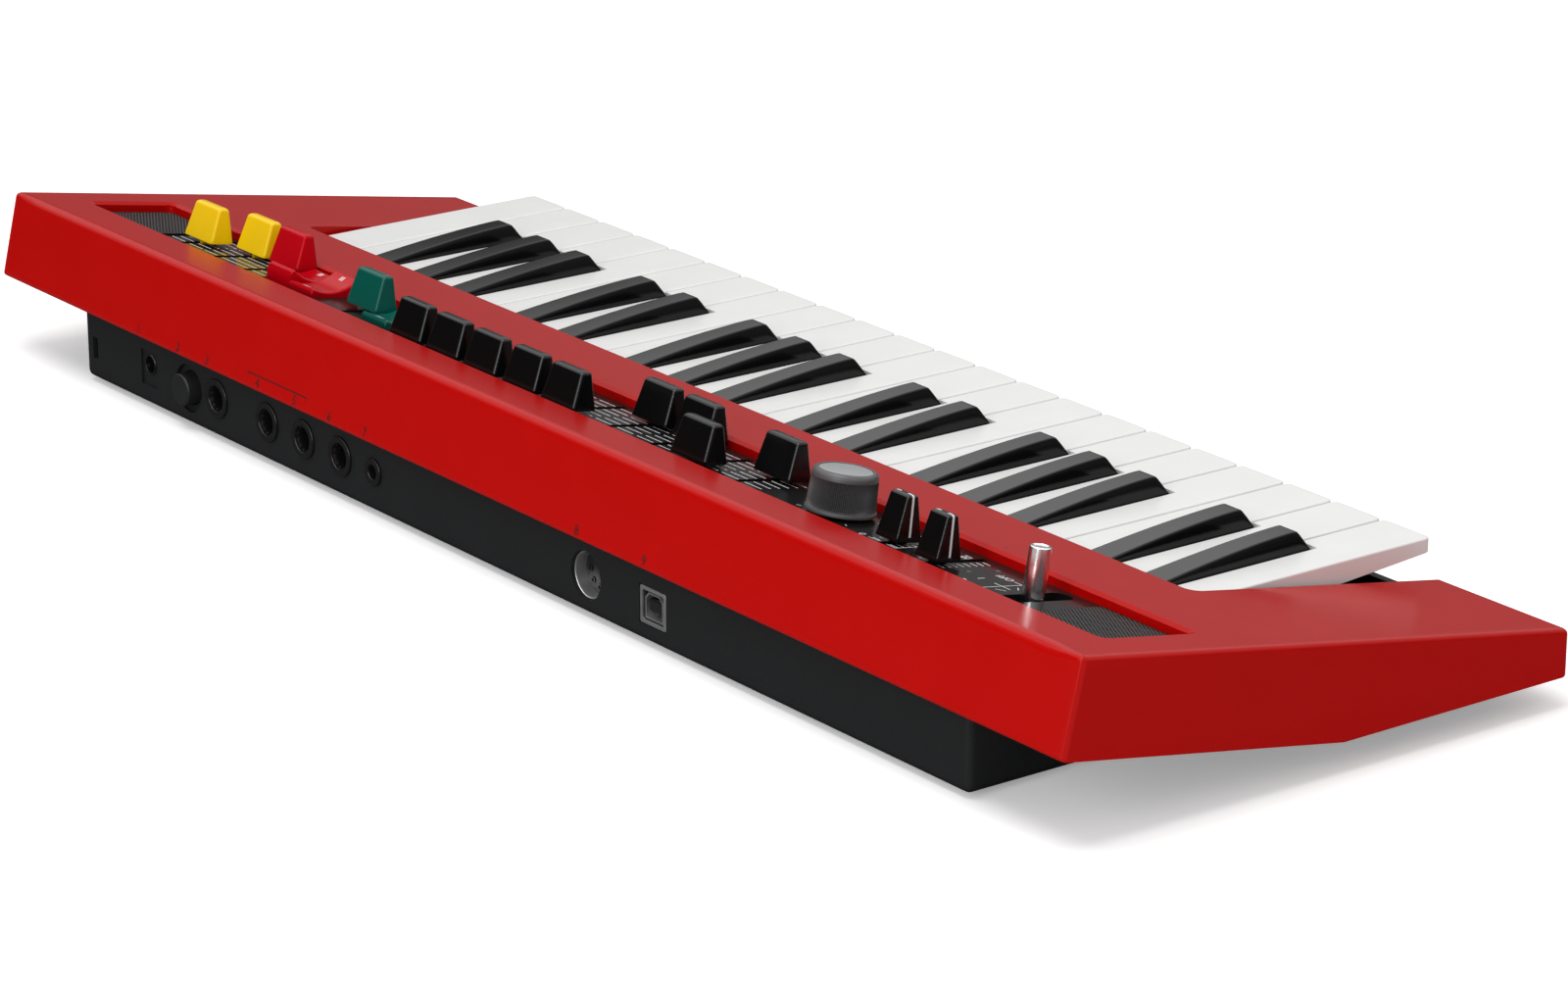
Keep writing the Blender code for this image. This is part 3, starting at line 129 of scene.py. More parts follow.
# Caps: foot and head across and along the slope, height, corner radius from above, share of the edge radius
WIDE_CAP = ((0.0166, 0.0084), (0.0146, 0.0036), 0.0113, 0.0009, 1.0)
NARROW_CAP = ((0.0094, 0.0088), (0.0076, 0.0036), 0.0125, 0.0006, 0.7)

# Underside: feet stand at every pair of these places, and so do the screws
FEET_X, FEET_Y = (-0.195, 0.195), (-0.060, 0.062)
SCREWS_X, SCREWS_Y = (-0.212, -0.105, 0.075, 0.212), (-0.074, 0.073)
SCREW_Z = 0.0026

# Turned pieces close with a flat disc of this radius
AXIS = 0.0001
# Print lies between these heights over its surface
INK_LOW, INK_HIGH = 0.00001, 0.00004

# Materials by name, filled by make_finishes. The height of fine moulding grain, and the colour of dust
FINISHES = {}
FINE_GRAIN = 0.000002
DUST = (0.5, 0.48, 0.45, 1.0)


def on_slope(points):
    """x, t, h on the top surface to metres: origin + x X + t T + h N."""
    points = np.asarray(points, float)
    x, t, h = points[..., :1], points[..., 1:2], points[..., 2:]
    return SURFACE_ORIGIN + x * np.array([1.0, 0, 0]) + t * UP_SLOPE + h * OUT_OF_SLOPE


def about(place):
    """A placer for points about a place on the top surface: adds the place, then goes to metres."""
    return lambda points: on_slope(points + np.array(place))


def on_rear_wall(x, z):
    """A placer for u, v, w about a socket's middle: u to -X, v up, w out of the base's rear wall."""

    def place(points):
        """x - u, the wall + w, z + v."""
        points = np.asarray(points, float)
        return np.stack([x - points[..., 0], REAR_WALL_Y + points[..., 2], z + points[..., 1]], -1)

    return place


def on_rear_face(points):
    """u, v, w to metres: u along -X, v up the red rear face from its upper edge, w out of it."""
    points = np.asarray(points, float)
    u, v, w = points[..., :1], points[..., 1:2], points[..., 2:]
    return REAR_TOP - u * np.array([1.0, 0, 0]) + v * UP_REAR_FACE + w * OUT_OF_REAR_FACE


class Shape:
    """Points and faces of one piece, gathered surface by surface."""

    def __init__(self):
        self.points, self.faces, self.finish, self.count = [], [], [], 0

    def add(self, points, faces, finish=0):
        """Points and the faces that count from the first of them. The finish is a place in the piece's list."""
        self.points.append(np.asarray(points, float).reshape(-1, 3))
        self.faces += [[i + self.count for i in face] for face in faces]
        self.finish += [finish] * len(faces)
        self.count += len(self.points[-1])
        return self

    def loft(self, rows, closed=False, finish=0):
        """Quads from each row of points to the next, every row a closed loop. The ends are capped, or joined."""
        rows = np.asarray(rows, float)
        count, around = rows.shape[:2]
        i, j = np.meshgrid(np.arange(count if closed else count - 1), np.arange(around), indexing="ij")
        i2, j2 = (i + 1) % count, (j + 1) % around
        quads = np.stack([i * around + j, i * around + j2, i2 * around + j2, i2 * around + j], -1)
        faces = quads.reshape(-1, 4).tolist()
        if not closed:
            faces.append(list(range(around))[::-1])
            faces.append(list(range((count - 1) * around, count * around)))
        return self.add(rows, faces, finish)

    def slabs(self, low, high, finish=0):
        """Many boxes at once: each corner is its low or high value in three directions."""
        low, high = np.atleast_2d(low), np.atleast_2d(high)
        pick = np.array([[i & 1, i >> 1 & 1, i >> 2 & 1] for i in range(8)])
        points = np.where(pick[None], high[:, None], low[:, None])
        sides = [[0, 2, 3, 1], [4, 5, 7, 6], [0, 1, 5, 4], [2, 6, 7, 3], [0, 4, 6, 2], [1, 3, 7, 5]]
        return self.add(points, box_faces(sides, len(low)), finish)

    def strokes(self, rows, width, low, high, finish=0):
        """Thin flat bars: a row is x and t of both ends, and the corners lie half the width to either side."""
        rows = np.asarray(rows, float)
        start, end = rows[:, :2], rows[:, 2:]
        along = (end - start) / np.linalg.norm(end - start, axis=1)[:, None]
        side = np.stack([-along[:, 1], along[:, 0]], -1) * width / 2
        ring = np.stack([start - side, end - side, end + side, start + side], 1)
        levels = [np.concatenate([ring, np.full(ring.shape[:2] + (1,), level)], -1) for level in (low, high)]
        sides = [[3, 2, 1, 0], [4, 5, 6, 7], [0, 1, 5, 4], [1, 2, 6, 5], [2, 3, 7, 6], [3, 0, 4, 7]]
        return self.add(np.concatenate(levels, 1), box_faces(sides, len(rows)), finish)

    def placed(self, place):
        """The shape with each of its points carried to where the placer puts it."""
        self.points = [place(points) for points in self.points]
        return self


def box_faces(sides, count):
    """The six sides of one box, given as corners 0 to 7, repeated for a count of boxes."""
    faces = np.array(sides)[None] + 8 * np.arange(count)[:, None, None]
    return faces.reshape(-1, 4).tolist()


def make_piece(name, shape, finishes, body, replaced=(), sharp=35):
    """A mesh object from a shape: equal points made one, faces turned outwards, shaded smooth up to an angle."""
    points = np.concatenate(shape.points)
    _, first, index = np.unique(np.round(points, 7), axis=0, return_index=True, return_inverse=True)
    index = index.reshape(-1)
    faces, kept = [], []
    # A face loses corners that have become one point, and goes if fewer than three are left
    for face, finish in zip(shape.faces, shape.finish):
        ring = [index[i] for i in face]
        ring = [v for k, v in enumerate(ring) if v != ring[k - 1]]
        if len(ring) > 2:
            faces.append([int(v) for v in ring])
            kept.append(finish)
    mesh = bpy.data.meshes.new(name)
    mesh.from_pydata(points[first], [], faces)
    for finish in finishes:
        mesh.materials.append(FINISHES[finish])
    mesh.polygons.foreach_set("material_index", np.array(kept, np.int32))
    mesh.validate()
    turn_outwards(mesh)
    mesh.shade_smooth()
    mesh.set_sharp_from_angle(angle=radians(sharp))
    obj = bpy.data.objects.new(name, mesh)
    bpy.context.scene.collection.objects.link(obj)
    even = obj.modifiers.new("even_shading", "WEIGHTED_NORMAL")
    even.keep_sharp = True
    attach(obj, body)
    if replaced:
        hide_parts(*replaced)
    return obj


def turn_outwards(mesh):
    """Every closed part's faces made to point out of it."""
    bm = bmesh.new()
    bm.from_mesh(mesh)
    bmesh.ops.recalc_face_normals(bm, faces=bm.faces)
    bm.to_mesh(mesh)
    bm.free()


def quarter_turns(steps):
    """Four quarter circles in a row: the angle of each point, and its corner's side across and up."""
    turn = np.concatenate([np.linspace(k, k + 1, steps + 1) for k in range(4)]) * pi / 2
    across = np.repeat([1.0, -1.0, -1.0, 1.0], steps + 1)
    up = np.repeat([1.0, 1.0, -1.0, -1.0], steps + 1)
    return turn, across, up


def bar(y, left, right, bottom, top, edge, foot_edge, lean=0.0, waist=None, steps=4):
    """A bar along y: at each station a section from left to right and bottom to top, whose corners are
    quarter circles of the edge radius above and the foot radius below. Its sides lean in above the waist."""
    turn, across, up = quarter_turns(steps)
    stations = (np.broadcast_to(v, np.shape(y))[:, None] for v in (y, left, right, bottom, top, lean))
    y, left, right, bottom, top, lean = stations
    radius = np.where(up > 0, edge, foot_edge)
    middle, half = (left + right) / 2, (right - left) / 2
    half = np.where(up > 0, half - lean, half)
    x = middle + across * (half - radius) + radius * np.cos(turn)
    z = np.where(up > 0, top - radius, bottom + radius) + radius * np.sin(turn)
    if waist is not None:
        # Where the top is low, the waist stays just under the upper corners
        level = np.minimum(waist, top - edge - 0.0001)
        cut = 2 * (steps + 1)
        x = np.concatenate([x[:, :cut], left, x[:, cut:], right], 1)
        z = np.concatenate([z[:, :cut], level, z[:, cut:], level], 1)
    return np.stack([x, np.broadcast_to(y, x.shape), z], -1)


def block(foot, head, low, height, corner, edge, dome=0.0, foot_edge=0.0002, steps=5):
    """A tapered block: rounded rectangles whose half sides go evenly from foot to head, drawn in by
    edge (1 - cos a) over the last edge (1 - sin a) of the height, then closed by a low dome."""
    turn, across, up = quarter_turns(steps)
    rise = np.linspace(0, pi / 2, 6)
    walls = np.linspace(0.1, 0.9, 5) * height
    h = np.concatenate([[0, foot_edge * 0.3, foot_edge], walls, height - edge + edge * np.sin(rise)])
    inset = np.concatenate([[foot_edge, foot_edge * 0.3, 0], 0 * walls, edge * (1 - np.cos(rise))])
    share = np.clip(h / height, 0, 1)
    half_x = foot[0] / 2 + (head[0] - foot[0]) / 2 * share - inset
    half_y = foot[1] / 2 + (head[1] - foot[1]) / 2 * share - inset
    # Two smaller outlines over the last one make the dome
    shrink = np.array([0.75, 0.4])
    half_x = np.append(half_x, half_x[-1] * shrink)
    half_y = np.append(half_y, half_y[-1] * shrink)
    h = np.append(h, height + dome * (1 - shrink**2))
    radius = np.minimum(corner, np.minimum(half_x, half_y) * 0.98)
    half_x, half_y, radius, h = (v[:, None] for v in (half_x, half_y, radius, h))
    x = across * (half_x - radius) + radius * np.cos(turn)
    y = up * (half_y - radius) + radius * np.sin(turn)
    return np.stack([x, y, np.broadcast_to(low + h, x.shape)], -1)


def turned(profile, around=64, ribs=0, rib_depth=0.0, rib_span=(0.0, 0.0)):
    """A turned piece: radius and height of each profile point carried round the axis. Between the heights of
    rib_span the radius loses rib_depth times the square of cos(ribs a / 2)."""
    profile = np.asarray(profile, float)
    angle = np.arange(around) * 2 * pi / around
    radius = np.repeat(profile[:, :1], around, 1)
    height = np.repeat(profile[:, 1:], around, 1)
    if ribs:
        inside = (height >= rib_span[0]) & (height <= rib_span[1])
        radius = radius - inside * rib_depth * np.cos(ribs * angle / 2) ** 2
    return np.stack([radius * np.cos(angle), radius * np.sin(angle), height], -1)


def quarter(centre, radius, start, end, steps=5):
    """Profile points on an arc, from one angle in degrees to another."""
    a = np.radians(np.linspace(start, end, steps))
    return np.stack([centre[0] + radius * np.cos(a), centre[1] + radius * np.sin(a)], -1).tolist()


def lettering(name, rows, size, place, finish, body):
    """Flat figures: each row is a text with its place, made a thin mesh and laid on a surface."""
    half_film, lift = 0.000015, 0.00002
    shape = Shape()
    for text, u, v in rows:
        curve = bpy.data.curves.new(name, "FONT")
        curve.body, curve.size, curve.align_x, curve.align_y = text, size, "CENTER", "CENTER"
        curve.extrude, curve.resolution_u = half_film, 3
        holder = bpy.data.objects.new(name + "_text", curve)
        bpy.context.scene.collection.objects.link(holder)
        bpy.context.view_layer.update()
        mesh = bpy.data.meshes.new_from_object(holder.evaluated_get(bpy.context.evaluated_depsgraph_get()))
        points = np.empty(len(mesh.vertices) * 3, np.float32)
        mesh.vertices.foreach_get("co", points)
        points = points.reshape(-1, 3) + np.array([u, v, lift])
        shape.add(points, [list(face.vertices) for face in mesh.polygons])
        bpy.data.objects.remove(holder)
        bpy.data.meshes.remove(mesh)
        bpy.data.curves.remove(curve)
    return make_piece(name, shape.placed(place), [finish], body)


def arrays_of(mesh):
    """The points and the triangles of a mesh of triangles."""
    points = np.empty(len(mesh.vertices) * 3, np.float32)
    mesh.vertices.foreach_get("co", points)
    corners = np.empty(len(mesh.loops), np.int32)
    mesh.loops.foreach_get("vertex_index", corners)
    return points.reshape(-1, 3), corners.reshape(-1, 3)


def welded(node):
    """A CAD node's points, equal ones made one, and its triangles."""
    points, triangles = arrays_of(node.data)
    _, first, index = np.unique(np.round(points, 6), axis=0, return_index=True, return_inverse=True)
    return points[first].astype(float), index.reshape(-1)[triangles]


class Value:
    """A shader socket on which arithmetic can be written: each operation adds a Math node."""

    def __init__(self, shading, socket):
        self.shading, self.socket = shading, socket

    def math(self, operation, first, second):
        """The value of one Math node."""
        return self.shading.add("ShaderNodeMath", {0: first, 1: second}, operation=operation)

    def __add__(self, other):
        return self.math("ADD", self, other)

    def __sub__(self, other):
        return self.math("SUBTRACT", self, other)

    def __rsub__(self, other):
        return self.math("SUBTRACT", other, self)

    def __mul__(self, other):
        return self.math("MULTIPLY", self, other)

    __radd__ = __add__
    __rmul__ = __mul__


class Shading:
    """The node tree of one finish or of the world. Scales of noise count its features to the metre."""

    def __init__(self, owner):
        owner.use_nodes = True
        self.tree = owner.node_tree
        self.tree.nodes.clear()

    def add(self, kind, inputs, output=0, **settings):
        """A node: its settings first, then the values or links of its sockets, by name or number."""
        node = self.tree.nodes.new(kind)
        stops = settings.pop("stops", ())
        for key, value in settings.items():
            setattr(node, key, value)
        for i, (place, colour) in enumerate(stops):
            ramp = node.color_ramp.elements
            stop = ramp[i] if i < len(ramp) else ramp.new(place)
            stop.position, stop.color = place, colour
        for key, value in inputs.items():
            if isinstance(value, Value):
                self.tree.links.new(value.socket, node.inputs[key])
            else:
                node.inputs[key].default_value = value
        return Value(self, node.outputs[output] if len(node.outputs) else None)

    def place(self):
        """Object coordinates, which are metres, since every piece lies at the origin."""
        return self.add("ShaderNodeTexCoord", {}, output="Object")

    def ray(self, kind):
        """1 for rays of one kind, 0 for others."""
        return self.add("ShaderNodeLightPath", {}, output=f"Is {kind} Ray")

    def vector(self, operation, *vectors):
        """A number worked out from one or two vectors."""
        return self.add(
            "ShaderNodeVectorMath", dict(enumerate(vectors)), output="Value", operation=operation
        )

    def noise(self, scale, detail=3.0, vector=None):
        """Even noise from 0 to 1."""
        inputs = {"Vector": vector or self.place(), "Scale": scale, "Detail": detail}
        return self.add("ShaderNodeTexNoise", inputs)

    def ramp(self, value, low, high):
        """0 up to low and 1 from high."""
        inputs = {"Value": value, "From Min": low, "From Max": high}
        return self.add("ShaderNodeMapRange", inputs)

    def blend(self, share, first, second):
        """The first colour at share 0, the second at share 1."""
        inputs = {0: share, 6: first, 7: second}
        return self.add("ShaderNodeMix", inputs, output=2, data_type="RGBA")

    def grey(self, value):
        """A colour with one value in its three channels."""
        return self.add("ShaderNodeCombineColor", {"Red": value, "Green": value, "Blue": value})

    def bump(self, height, distance):
        """A normal that follows the height, whose full range is the distance in metres."""
        return self.add("ShaderNodeBump", {"Height": height, "Distance": distance, "Strength": 1.0})

    def surface(self, **inputs):
        """The finished surface: sockets by name, with _ for a space."""
        named = {key.replace("_", " "): value for key, value in inputs.items()}
        shader = self.add("ShaderNodeBsdfPrincipled", named)
        self.add("ShaderNodeOutputMaterial", {"Surface": shader})


def rgb(colour, gain=1.0):
    """A colour with its gain and full cover."""
    return tuple(min(1.0, c * gain) for c in colour[:3]) + (1.0,)


def new_finish(name):
    """An empty material, kept by name. Its own name ends in _finish, since the CAD frame has names of its own."""
    FINISHES[name] = bpy.data.materials.new(name + "_finish")
    return Shading(FINISHES[name])


def moulded(name, colour, roughness, specular=0.5, spread=0.12, dust=0.05, grain=1500.0, depth=FINE_GRAIN):
    """Moulded plastic: fine grain, slow changes of gloss, faint marks where hands rub, a trace of dust.
    The roughness wanders by the spread. The grain has so many bumps to the metre, of the depth in metres."""
    s = new_finish(name)
    cloud = s.noise(9.0, 4.0)
    rub = s.ramp(s.noise(60.0, 6.0), 0.45, 0.75)
    grit = s.noise(grain, 2.0)
    speck = s.ramp(s.noise(2600.0, 1.0), 0.70, 0.80)
    worn = s.blend(rub * 0.5, rgb(colour, 0.97), rgb(colour, 1.03))
    tone = s.blend(speck * dust, worn, DUST)
    gloss = roughness - spread * 0.5 + cloud * spread + rub * spread * 0.4
    s.surface(Base_Color=tone, Roughness=gloss, Normal=s.bump(grit, depth), Specular_IOR_Level=specular)


def brushed(name, colour, roughness, scale):
    """Metal with fine lines: noise with its own scale in each direction moves gloss, colour and height."""
    s = new_finish(name)
    lines = s.noise(1.0, 3.0, s.add("ShaderNodeMapping", {"Vector": s.place(), "Scale": scale}))
    smudge = s.ramp(s.noise(220.0, 3.0), 0.4, 0.7)
    tone = s.blend(lines * 0.5, rgb(colour), rgb(colour, 0.82))
    gloss = roughness + lines * 0.08 + smudge * 0.05
    s.surface(Base_Color=tone, Metallic=1.0, Roughness=gloss, Normal=s.bump(lines, 2 * FINE_GRAIN))


def spun(name, colour, roughness, centre):
    """Metal with fine rings about a point: noise along the distance from it moves height and colour."""
    s = new_finish(name)
    inputs = {"W": s.vector("DISTANCE", s.place(), centre), "Scale": 7000.0, "Detail": 2.0}
    rings = s.add("ShaderNodeTexNoise", inputs, noise_dimensions="1D")
    tone = s.blend(rings * 0.6, rgb(colour), rgb(colour, 0.75))
    gloss = roughness + rings * 0.06
    s.surface(Base_Color=tone, Metallic=1.0, Roughness=gloss, Normal=s.bump(rings, 6 * FINE_GRAIN))


def ink(name, colour):
    """Printed ink: a slightly uneven film."""
    s = new_finish(name)
    film = s.noise(1400.0, 3.0)
    tone = s.blend(film * 0.6, rgb(colour), rgb(colour, 0.8))
    s.surface(Base_Color=tone, Roughness=0.45 + film * 0.2)


def make_finishes(colours):
    """Every finish of the organ, with the plastics' colours from the settings."""
    mirror, coarse = FINE_GRAIN / 2, 1.5 * FINE_GRAIN
    moulded("red_gloss", colours.case_red, 0.22, specular=0.14, spread=0.04, dust=0.003)
    moulded("panel_black", colours.panel_black, 0.17, specular=0.15, spread=0.05, dust=0.01, depth=mirror)
    moulded("base_black", colours.base_black, 0.56, specular=0.25, dust=0.03, grain=1900.0, depth=0.00003)
    moulded("key_white", colours.key_white, 0.28, specular=0.3, spread=0.02, dust=0.004, grain=700.0, depth=mirror)
    moulded("key_black", colours.key_black, 0.12, specular=0.3, spread=0.03, dust=0.01, grain=1600.0, depth=mirror)
    moulded("cap_black", colours.cap_black, 0.18, specular=0.35, spread=0.06, dust=0.01, grain=1800.0, depth=coarse)
    moulded("cap_green", colours.cap_green, 0.24, specular=0.25, spread=0.04, dust=0.01)
    moulded("cap_red", colours.cap_red, 0.22, specular=0.12, spread=0.04, dust=0.01)
    moulded("cap_yellow", colours.cap_yellow, 0.24, specular=0.25, spread=0.04, dust=0.01)
    moulded("knob_charcoal", (0.072, 0.073, 0.076), 0.42, grain=1800.0, depth=3 * FINE_GRAIN)
    moulded("socket_black", (0.006, 0.006, 0.007), 0.22)
    moulded("button_grey", colours.base_black, 0.42, specular=0.4, grain=1700.0, depth=0.00001)
    # Hole walls of the grilles: a matt black darker than the plate, painted shade inside the holes
    moulded("painted_hole_shade", (0.002, 0.002, 0.002), 0.8, specular=0.1, dust=0.0)
    moulded("lamp_window", (0.004, 0.004, 0.005), 0.10, spread=0.02, dust=0.0, depth=mirror)
    moulded("foot_rubber", (0.020, 0.020, 0.020), 0.75, specular=0.3, grain=1200.0, depth=0.00004)
    moulded("grille_black", rgb(colours.panel_black, 1.6), 0.40, spread=0.06, dust=0.02)
    spun("silver_insert", (0.74, 0.75, 0.76), 0.28, tuple(on_slope(KNOB_PLACE).tolist()))
    brushed("lever_chrome", (0.80, 0.80, 0.81), 0.15, (400.0, 400.0, 60.0))
    brushed("socket_metal", (0.80, 0.80, 0.80), 0.40, (2000.0, 200.0, 2000.0))
    brushed("screw_steel", (0.30, 0.30, 0.31), 0.35, (900.0, 900.0, 900.0))
    ink("white_ink", (0.76, 0.77, 0.78))
    ink("dark_ink", (0.022, 0.002, 0.002))
    ink("faint_ink", (0.16, 0.012, 0.010))


def colour_setting(name, description, default):
    """A colour that a user can set."""
    return FloatVectorProperty(name=name, description=description, subtype="COLOR", size=3, default=default)


def length_setting(name, description, default):
    """A length in metres that a user can set."""
    return FloatProperty(name=name, description=description, default=default, unit="LENGTH")


def power_setting(name, description, default):
    """A lamp's power in watts that a user can set."""
    return FloatProperty(name=name, description=description, default=default, unit="POWER")


class OrganColours(bpy.types.PropertyGroup):
    """Colours of the plastics."""

    case_red: colour_setting("Case red", "Top case", (0.45, 0.001, 0.0))
    panel_black: colour_setting("Panel black", "Control panel", (0.009, 0.009, 0.009))
    base_black: colour_setting("Base black", "Base case", (0.013, 0.014, 0.015))
    key_white: colour_setting("Key white", "White keys", (0.81, 0.81, 0.80))
    key_black: colour_setting("Key black", "Black keys", (0.003, 0.003, 0.003))
    cap_black: colour_setting("Cap black", "Footage slider caps", (0.003, 0.003, 0.003))
    cap_green: colour_setting("Cap green", "Vibrato cap and rocker", (0.0, 0.090, 0.068))
    cap_red: colour_setting("Cap red", "Percussion cap and rockers", (0.50, 0.0, 0.006))
    cap_yellow: colour_setting("Cap yellow", "Effect caps", (0.93, 0.60, 0.004))


class OrganSizes(bpy.types.PropertyGroup):
    """Sizes of the finishing detail."""

    key_edge: length_setting("Key edge", "Radius of a white key's upper edges", 0.0007)
    key_corner: length_setting("Key corner", "Radius of a white key's front corners from above", 0.0022)
    black_edge: length_setting("Black key edge", "Radius of a black key's upper edges", 0.0005)
    cap_edge: length_setting("Cap edge", "Radius of a slider cap's edges", 0.0010)
    knob_ribs: IntProperty(name="Knob ribs", description="Ribs round the wave knob", default=120)
    rib_depth: length_setting("Rib depth", "Depth of the knob's ribs", 0.00045)
    grille_pitch: length_setting("Grille pitch", "Distance between speaker holes", 0.00115)
    grille_hole: length_setting("Grille hole", "Radius of a speaker hole", 0.00042)


class OrganStage(bpy.types.PropertyGroup):
    """Light round the organ."""

    ambient: FloatProperty(name="Ambient", description="Light from all round", default=0.50)
    overhead: power_setting("Overhead", "Power of the lamp above", 13.5)
    side: power_setting("Side", "Power of the lamp behind the camera", 5.2)
    strip: power_setting("Strip", "Power of the tall narrow lamp beside it", 3.0)
    lens: FloatProperty(name="Lens", description="Focal length of the camera in millimetres", default=123.18)


class CaseShells(bpy.types.Operator):
    """Top case and base case with even shading, the control panel black inside its recess"""

    bl_idname = "organ.case_shells"
    bl_label = "Case shells"

    def execute(self, context):
        points, triangles = softened(*welded(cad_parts["top_case"]))
        centre = points[triangles].mean(1) - SURFACE_ORIGIN
        t, h = centre @ UP_SLOPE, centre @ OUT_OF_SLOPE
        in_recess = (abs(centre[:, 0]) < RECESS_HALF) & (t > RECESS_FRONT) & (t < RECESS_REAR)
        inside = in_recess & (h < PANEL + 0.00005)
        shape = Shape().add(points, triangles[~inside].tolist(), 0)
        shape.faces += triangles[inside].tolist()
        shape.finish += [1] * int(inside.sum())
        shell = make_piece("top_shell", shape, ["red_gloss", "panel_black"], "case", ["top_case"], sharp=32)
        shape = Shape().add(*welded(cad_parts["base_case"]))
        shell = make_piece("base_shell", shape, ["base_black"], "case", ["base_case"], sharp=32)
        return {"FINISHED"}


def softened(points, triangles, radius=0.0016, soft=0.0029):
    """The rear upper edge with a wider rounding: away from the ends its rounding's points go from the sharp edge
    line by the share of the radii, and points of the faces beside it make room. Cuts across the case near its ends
    let the rounding widen little by little."""
    narrow_x, wide_x = 0.2634, 0.2520
    mesh = bpy.data.meshes.new("top_shell_cuts")
    mesh.from_pydata(points, [], triangles.tolist())
    bm = bmesh.new()
    bm.from_mesh(mesh)
    for x in (0.2610, 0.2585, 0.2555, wide_x):
        for side in (-1, 1):
            geometry = bm.verts[:] + bm.edges[:] + bm.faces[:]
            bmesh.ops.bisect_plane(bm, geom=geometry, dist=1e-6, plane_co=(side * x, 0, 0), plane_no=(1, 0, 0))
    bmesh.ops.triangulate(bm, faces=bm.faces[:])
    bm.to_mesh(mesh)
    bm.free()
    points, triangles = arrays_of(mesh)
    bpy.data.meshes.remove(mesh)
    points = points.astype(float)
    away = points - REAR_TOP
    away[:, 0] = 0
    distance = np.maximum(np.linalg.norm(away, axis=1), 1e-6)
    share = np.clip((narrow_x - abs(points[:, 0])) / (narrow_x - wide_x), 0, 1)
    growth = 1 + (soft / radius - 1) * share**2 * (3 - 2 * share)
    on_rounding = distance < radius * 1.01
    wider = np.where(on_rounding, distance * growth, np.maximum(distance, radius * growth))
    points += away * (wider / distance - 1)[:, None]
    return points, triangles


class SpeakerGrilles(bpy.types.Operator):
    """Two plates of small round holes, one at each end of the control panel"""

    bl_idname = "organ.speaker_grilles"
    bl_label = "Speaker grilles"

    def execute(self, context):
        sizes = context.scene.organ_sizes
        for name, side in (("grille_left", -1), ("grille_right", 1)):
            shape = grille(sizes.grille_pitch, sizes.grille_hole, side)
            # The second finish is painted shade on the hole walls
            make_piece(name, shape, ["grille_black", "painted_hole_shade"], "case")
        return {"FINISHED"}


def grille(pitch, hole, side):
    """Rows of cells, every second row half a cell over. A cell's top joins eight points on its border to eight
    points of a circle, and the circle's wall goes down to the same ring below. The wall is in a matt black
    darker than the plate, which paints the shade inside the holes."""
    columns, rows = 24, 31
    film, thick, margin = 0.00002, 0.00045, 0.0028
    step = pitch * cos(radians(30))
    border = np.array([(1, 0), (1, 1), (0, 1), (-1, 1), (-1, 0), (-1, -1), (0, -1), (1, -1)])
    border = border * np.array([pitch / 2, step / 2])
    angle = np.arange(8) * pi / 4
    circle = hole * np.stack([np.cos(angle), np.sin(angle)], -1)
    row, column = np.meshgrid(np.arange(rows), np.arange(columns), indexing="ij")
    keep = (row % 2 == 0) | (column < columns - 1)
    centre = np.stack([(column + 0.5 + 0.5 * (row % 2)) * pitch, (row + 0.5) * step], -1)[keep]
    low, high = PANEL + film, PANEL + thick
    rings = []
    for outline, level in ((border, low), (circle, low), (circle, high), (border, high)):
        flat = centre[:, None] + outline[None]
        rings.append(np.concatenate([flat, np.full(flat.shape[:2] + (1,), level)], -1))
    # A cell has four rings of eight points: border and circle below, circle and border above
    cells = np.stack(rings, 1)
    shape = Shape()
    shape.points.append(cells.reshape(-1, 3))
    shape.count = len(shape.points[0])
    # Finish 1, on the hole walls and the cells' undersides, is painted shade
    for ring, finish in ((0, 1), (1, 1), (2, 0)):
        cell, i = np.meshgrid(np.arange(len(centre)), np.arange(8), indexing="ij")
        a = cell * 32 + ring * 8 + i
        b = cell * 32 + ring * 8 + (i + 1) % 8
        quads = np.stack([a, b, b + 8, a + 8], -1).reshape(-1, 4)
        shape.faces += quads.tolist()
        shape.finish += [finish] * len(quads)
    # Half cells without a hole fill both ends of every second row
    along = columns * pitch
    odd = np.arange(1, rows, 2)
    for t in (0.0, along - pitch / 2):
        corner = np.stack([np.full(len(odd), t), odd * step, np.full(len(odd), low)], -1)
        shape.slabs(corner, corner + np.array([pitch / 2, step, high - low]))
    start = (RECESS_FRONT + RECESS_REAR - along) / 2
    outer = RECESS_HALF - margin
    return shape.placed(lambda p: on_slope(np.stack([side * (outer - p[:, 1]), start + p[:, 0], p[:, 2]], -1)))


def key_names():
    """Name, note and number of white keys before it, for each of the 37 keys."""
    white = 0
    for number in range(KEY_COUNT):
        note = number % 12
        yield f"key_{number + 1:02d}_{NOTE_NAMES[note]}", note, white
        white += note not in BLACK_SHIFTS


def hook_stations():
    """Stations where a key's underside steps up over the hinge bar in a half circle."""
    a = np.linspace(0, pi, 9)
    front, rear = HINGE_Y - HOOK_RADIUS, HINGE_Y + HOOK_RADIUS
    y = np.concatenate([[front], HINGE_Y - HOOK_RADIUS * np.cos(a), [rear, KEY_REAR_Y]])
    z = np.concatenate([[KEY_UNDERSIDE], HINGE_Z + HOOK_RADIUS * np.sin(a), [KEY_UNDERSIDE] * 2])
    return y, z


def notch_cut(side, note):
    """How far a black key's notch reaches into a white key on that side of it."""
    shift = BLACK_SHIFTS.get((note + side) % 12)
    if shift is None:
        return 0.0
    return BLACK_WIDTH / 2 + BLACK_SIDE_GAP - side * shift - KEY_GAP / 2


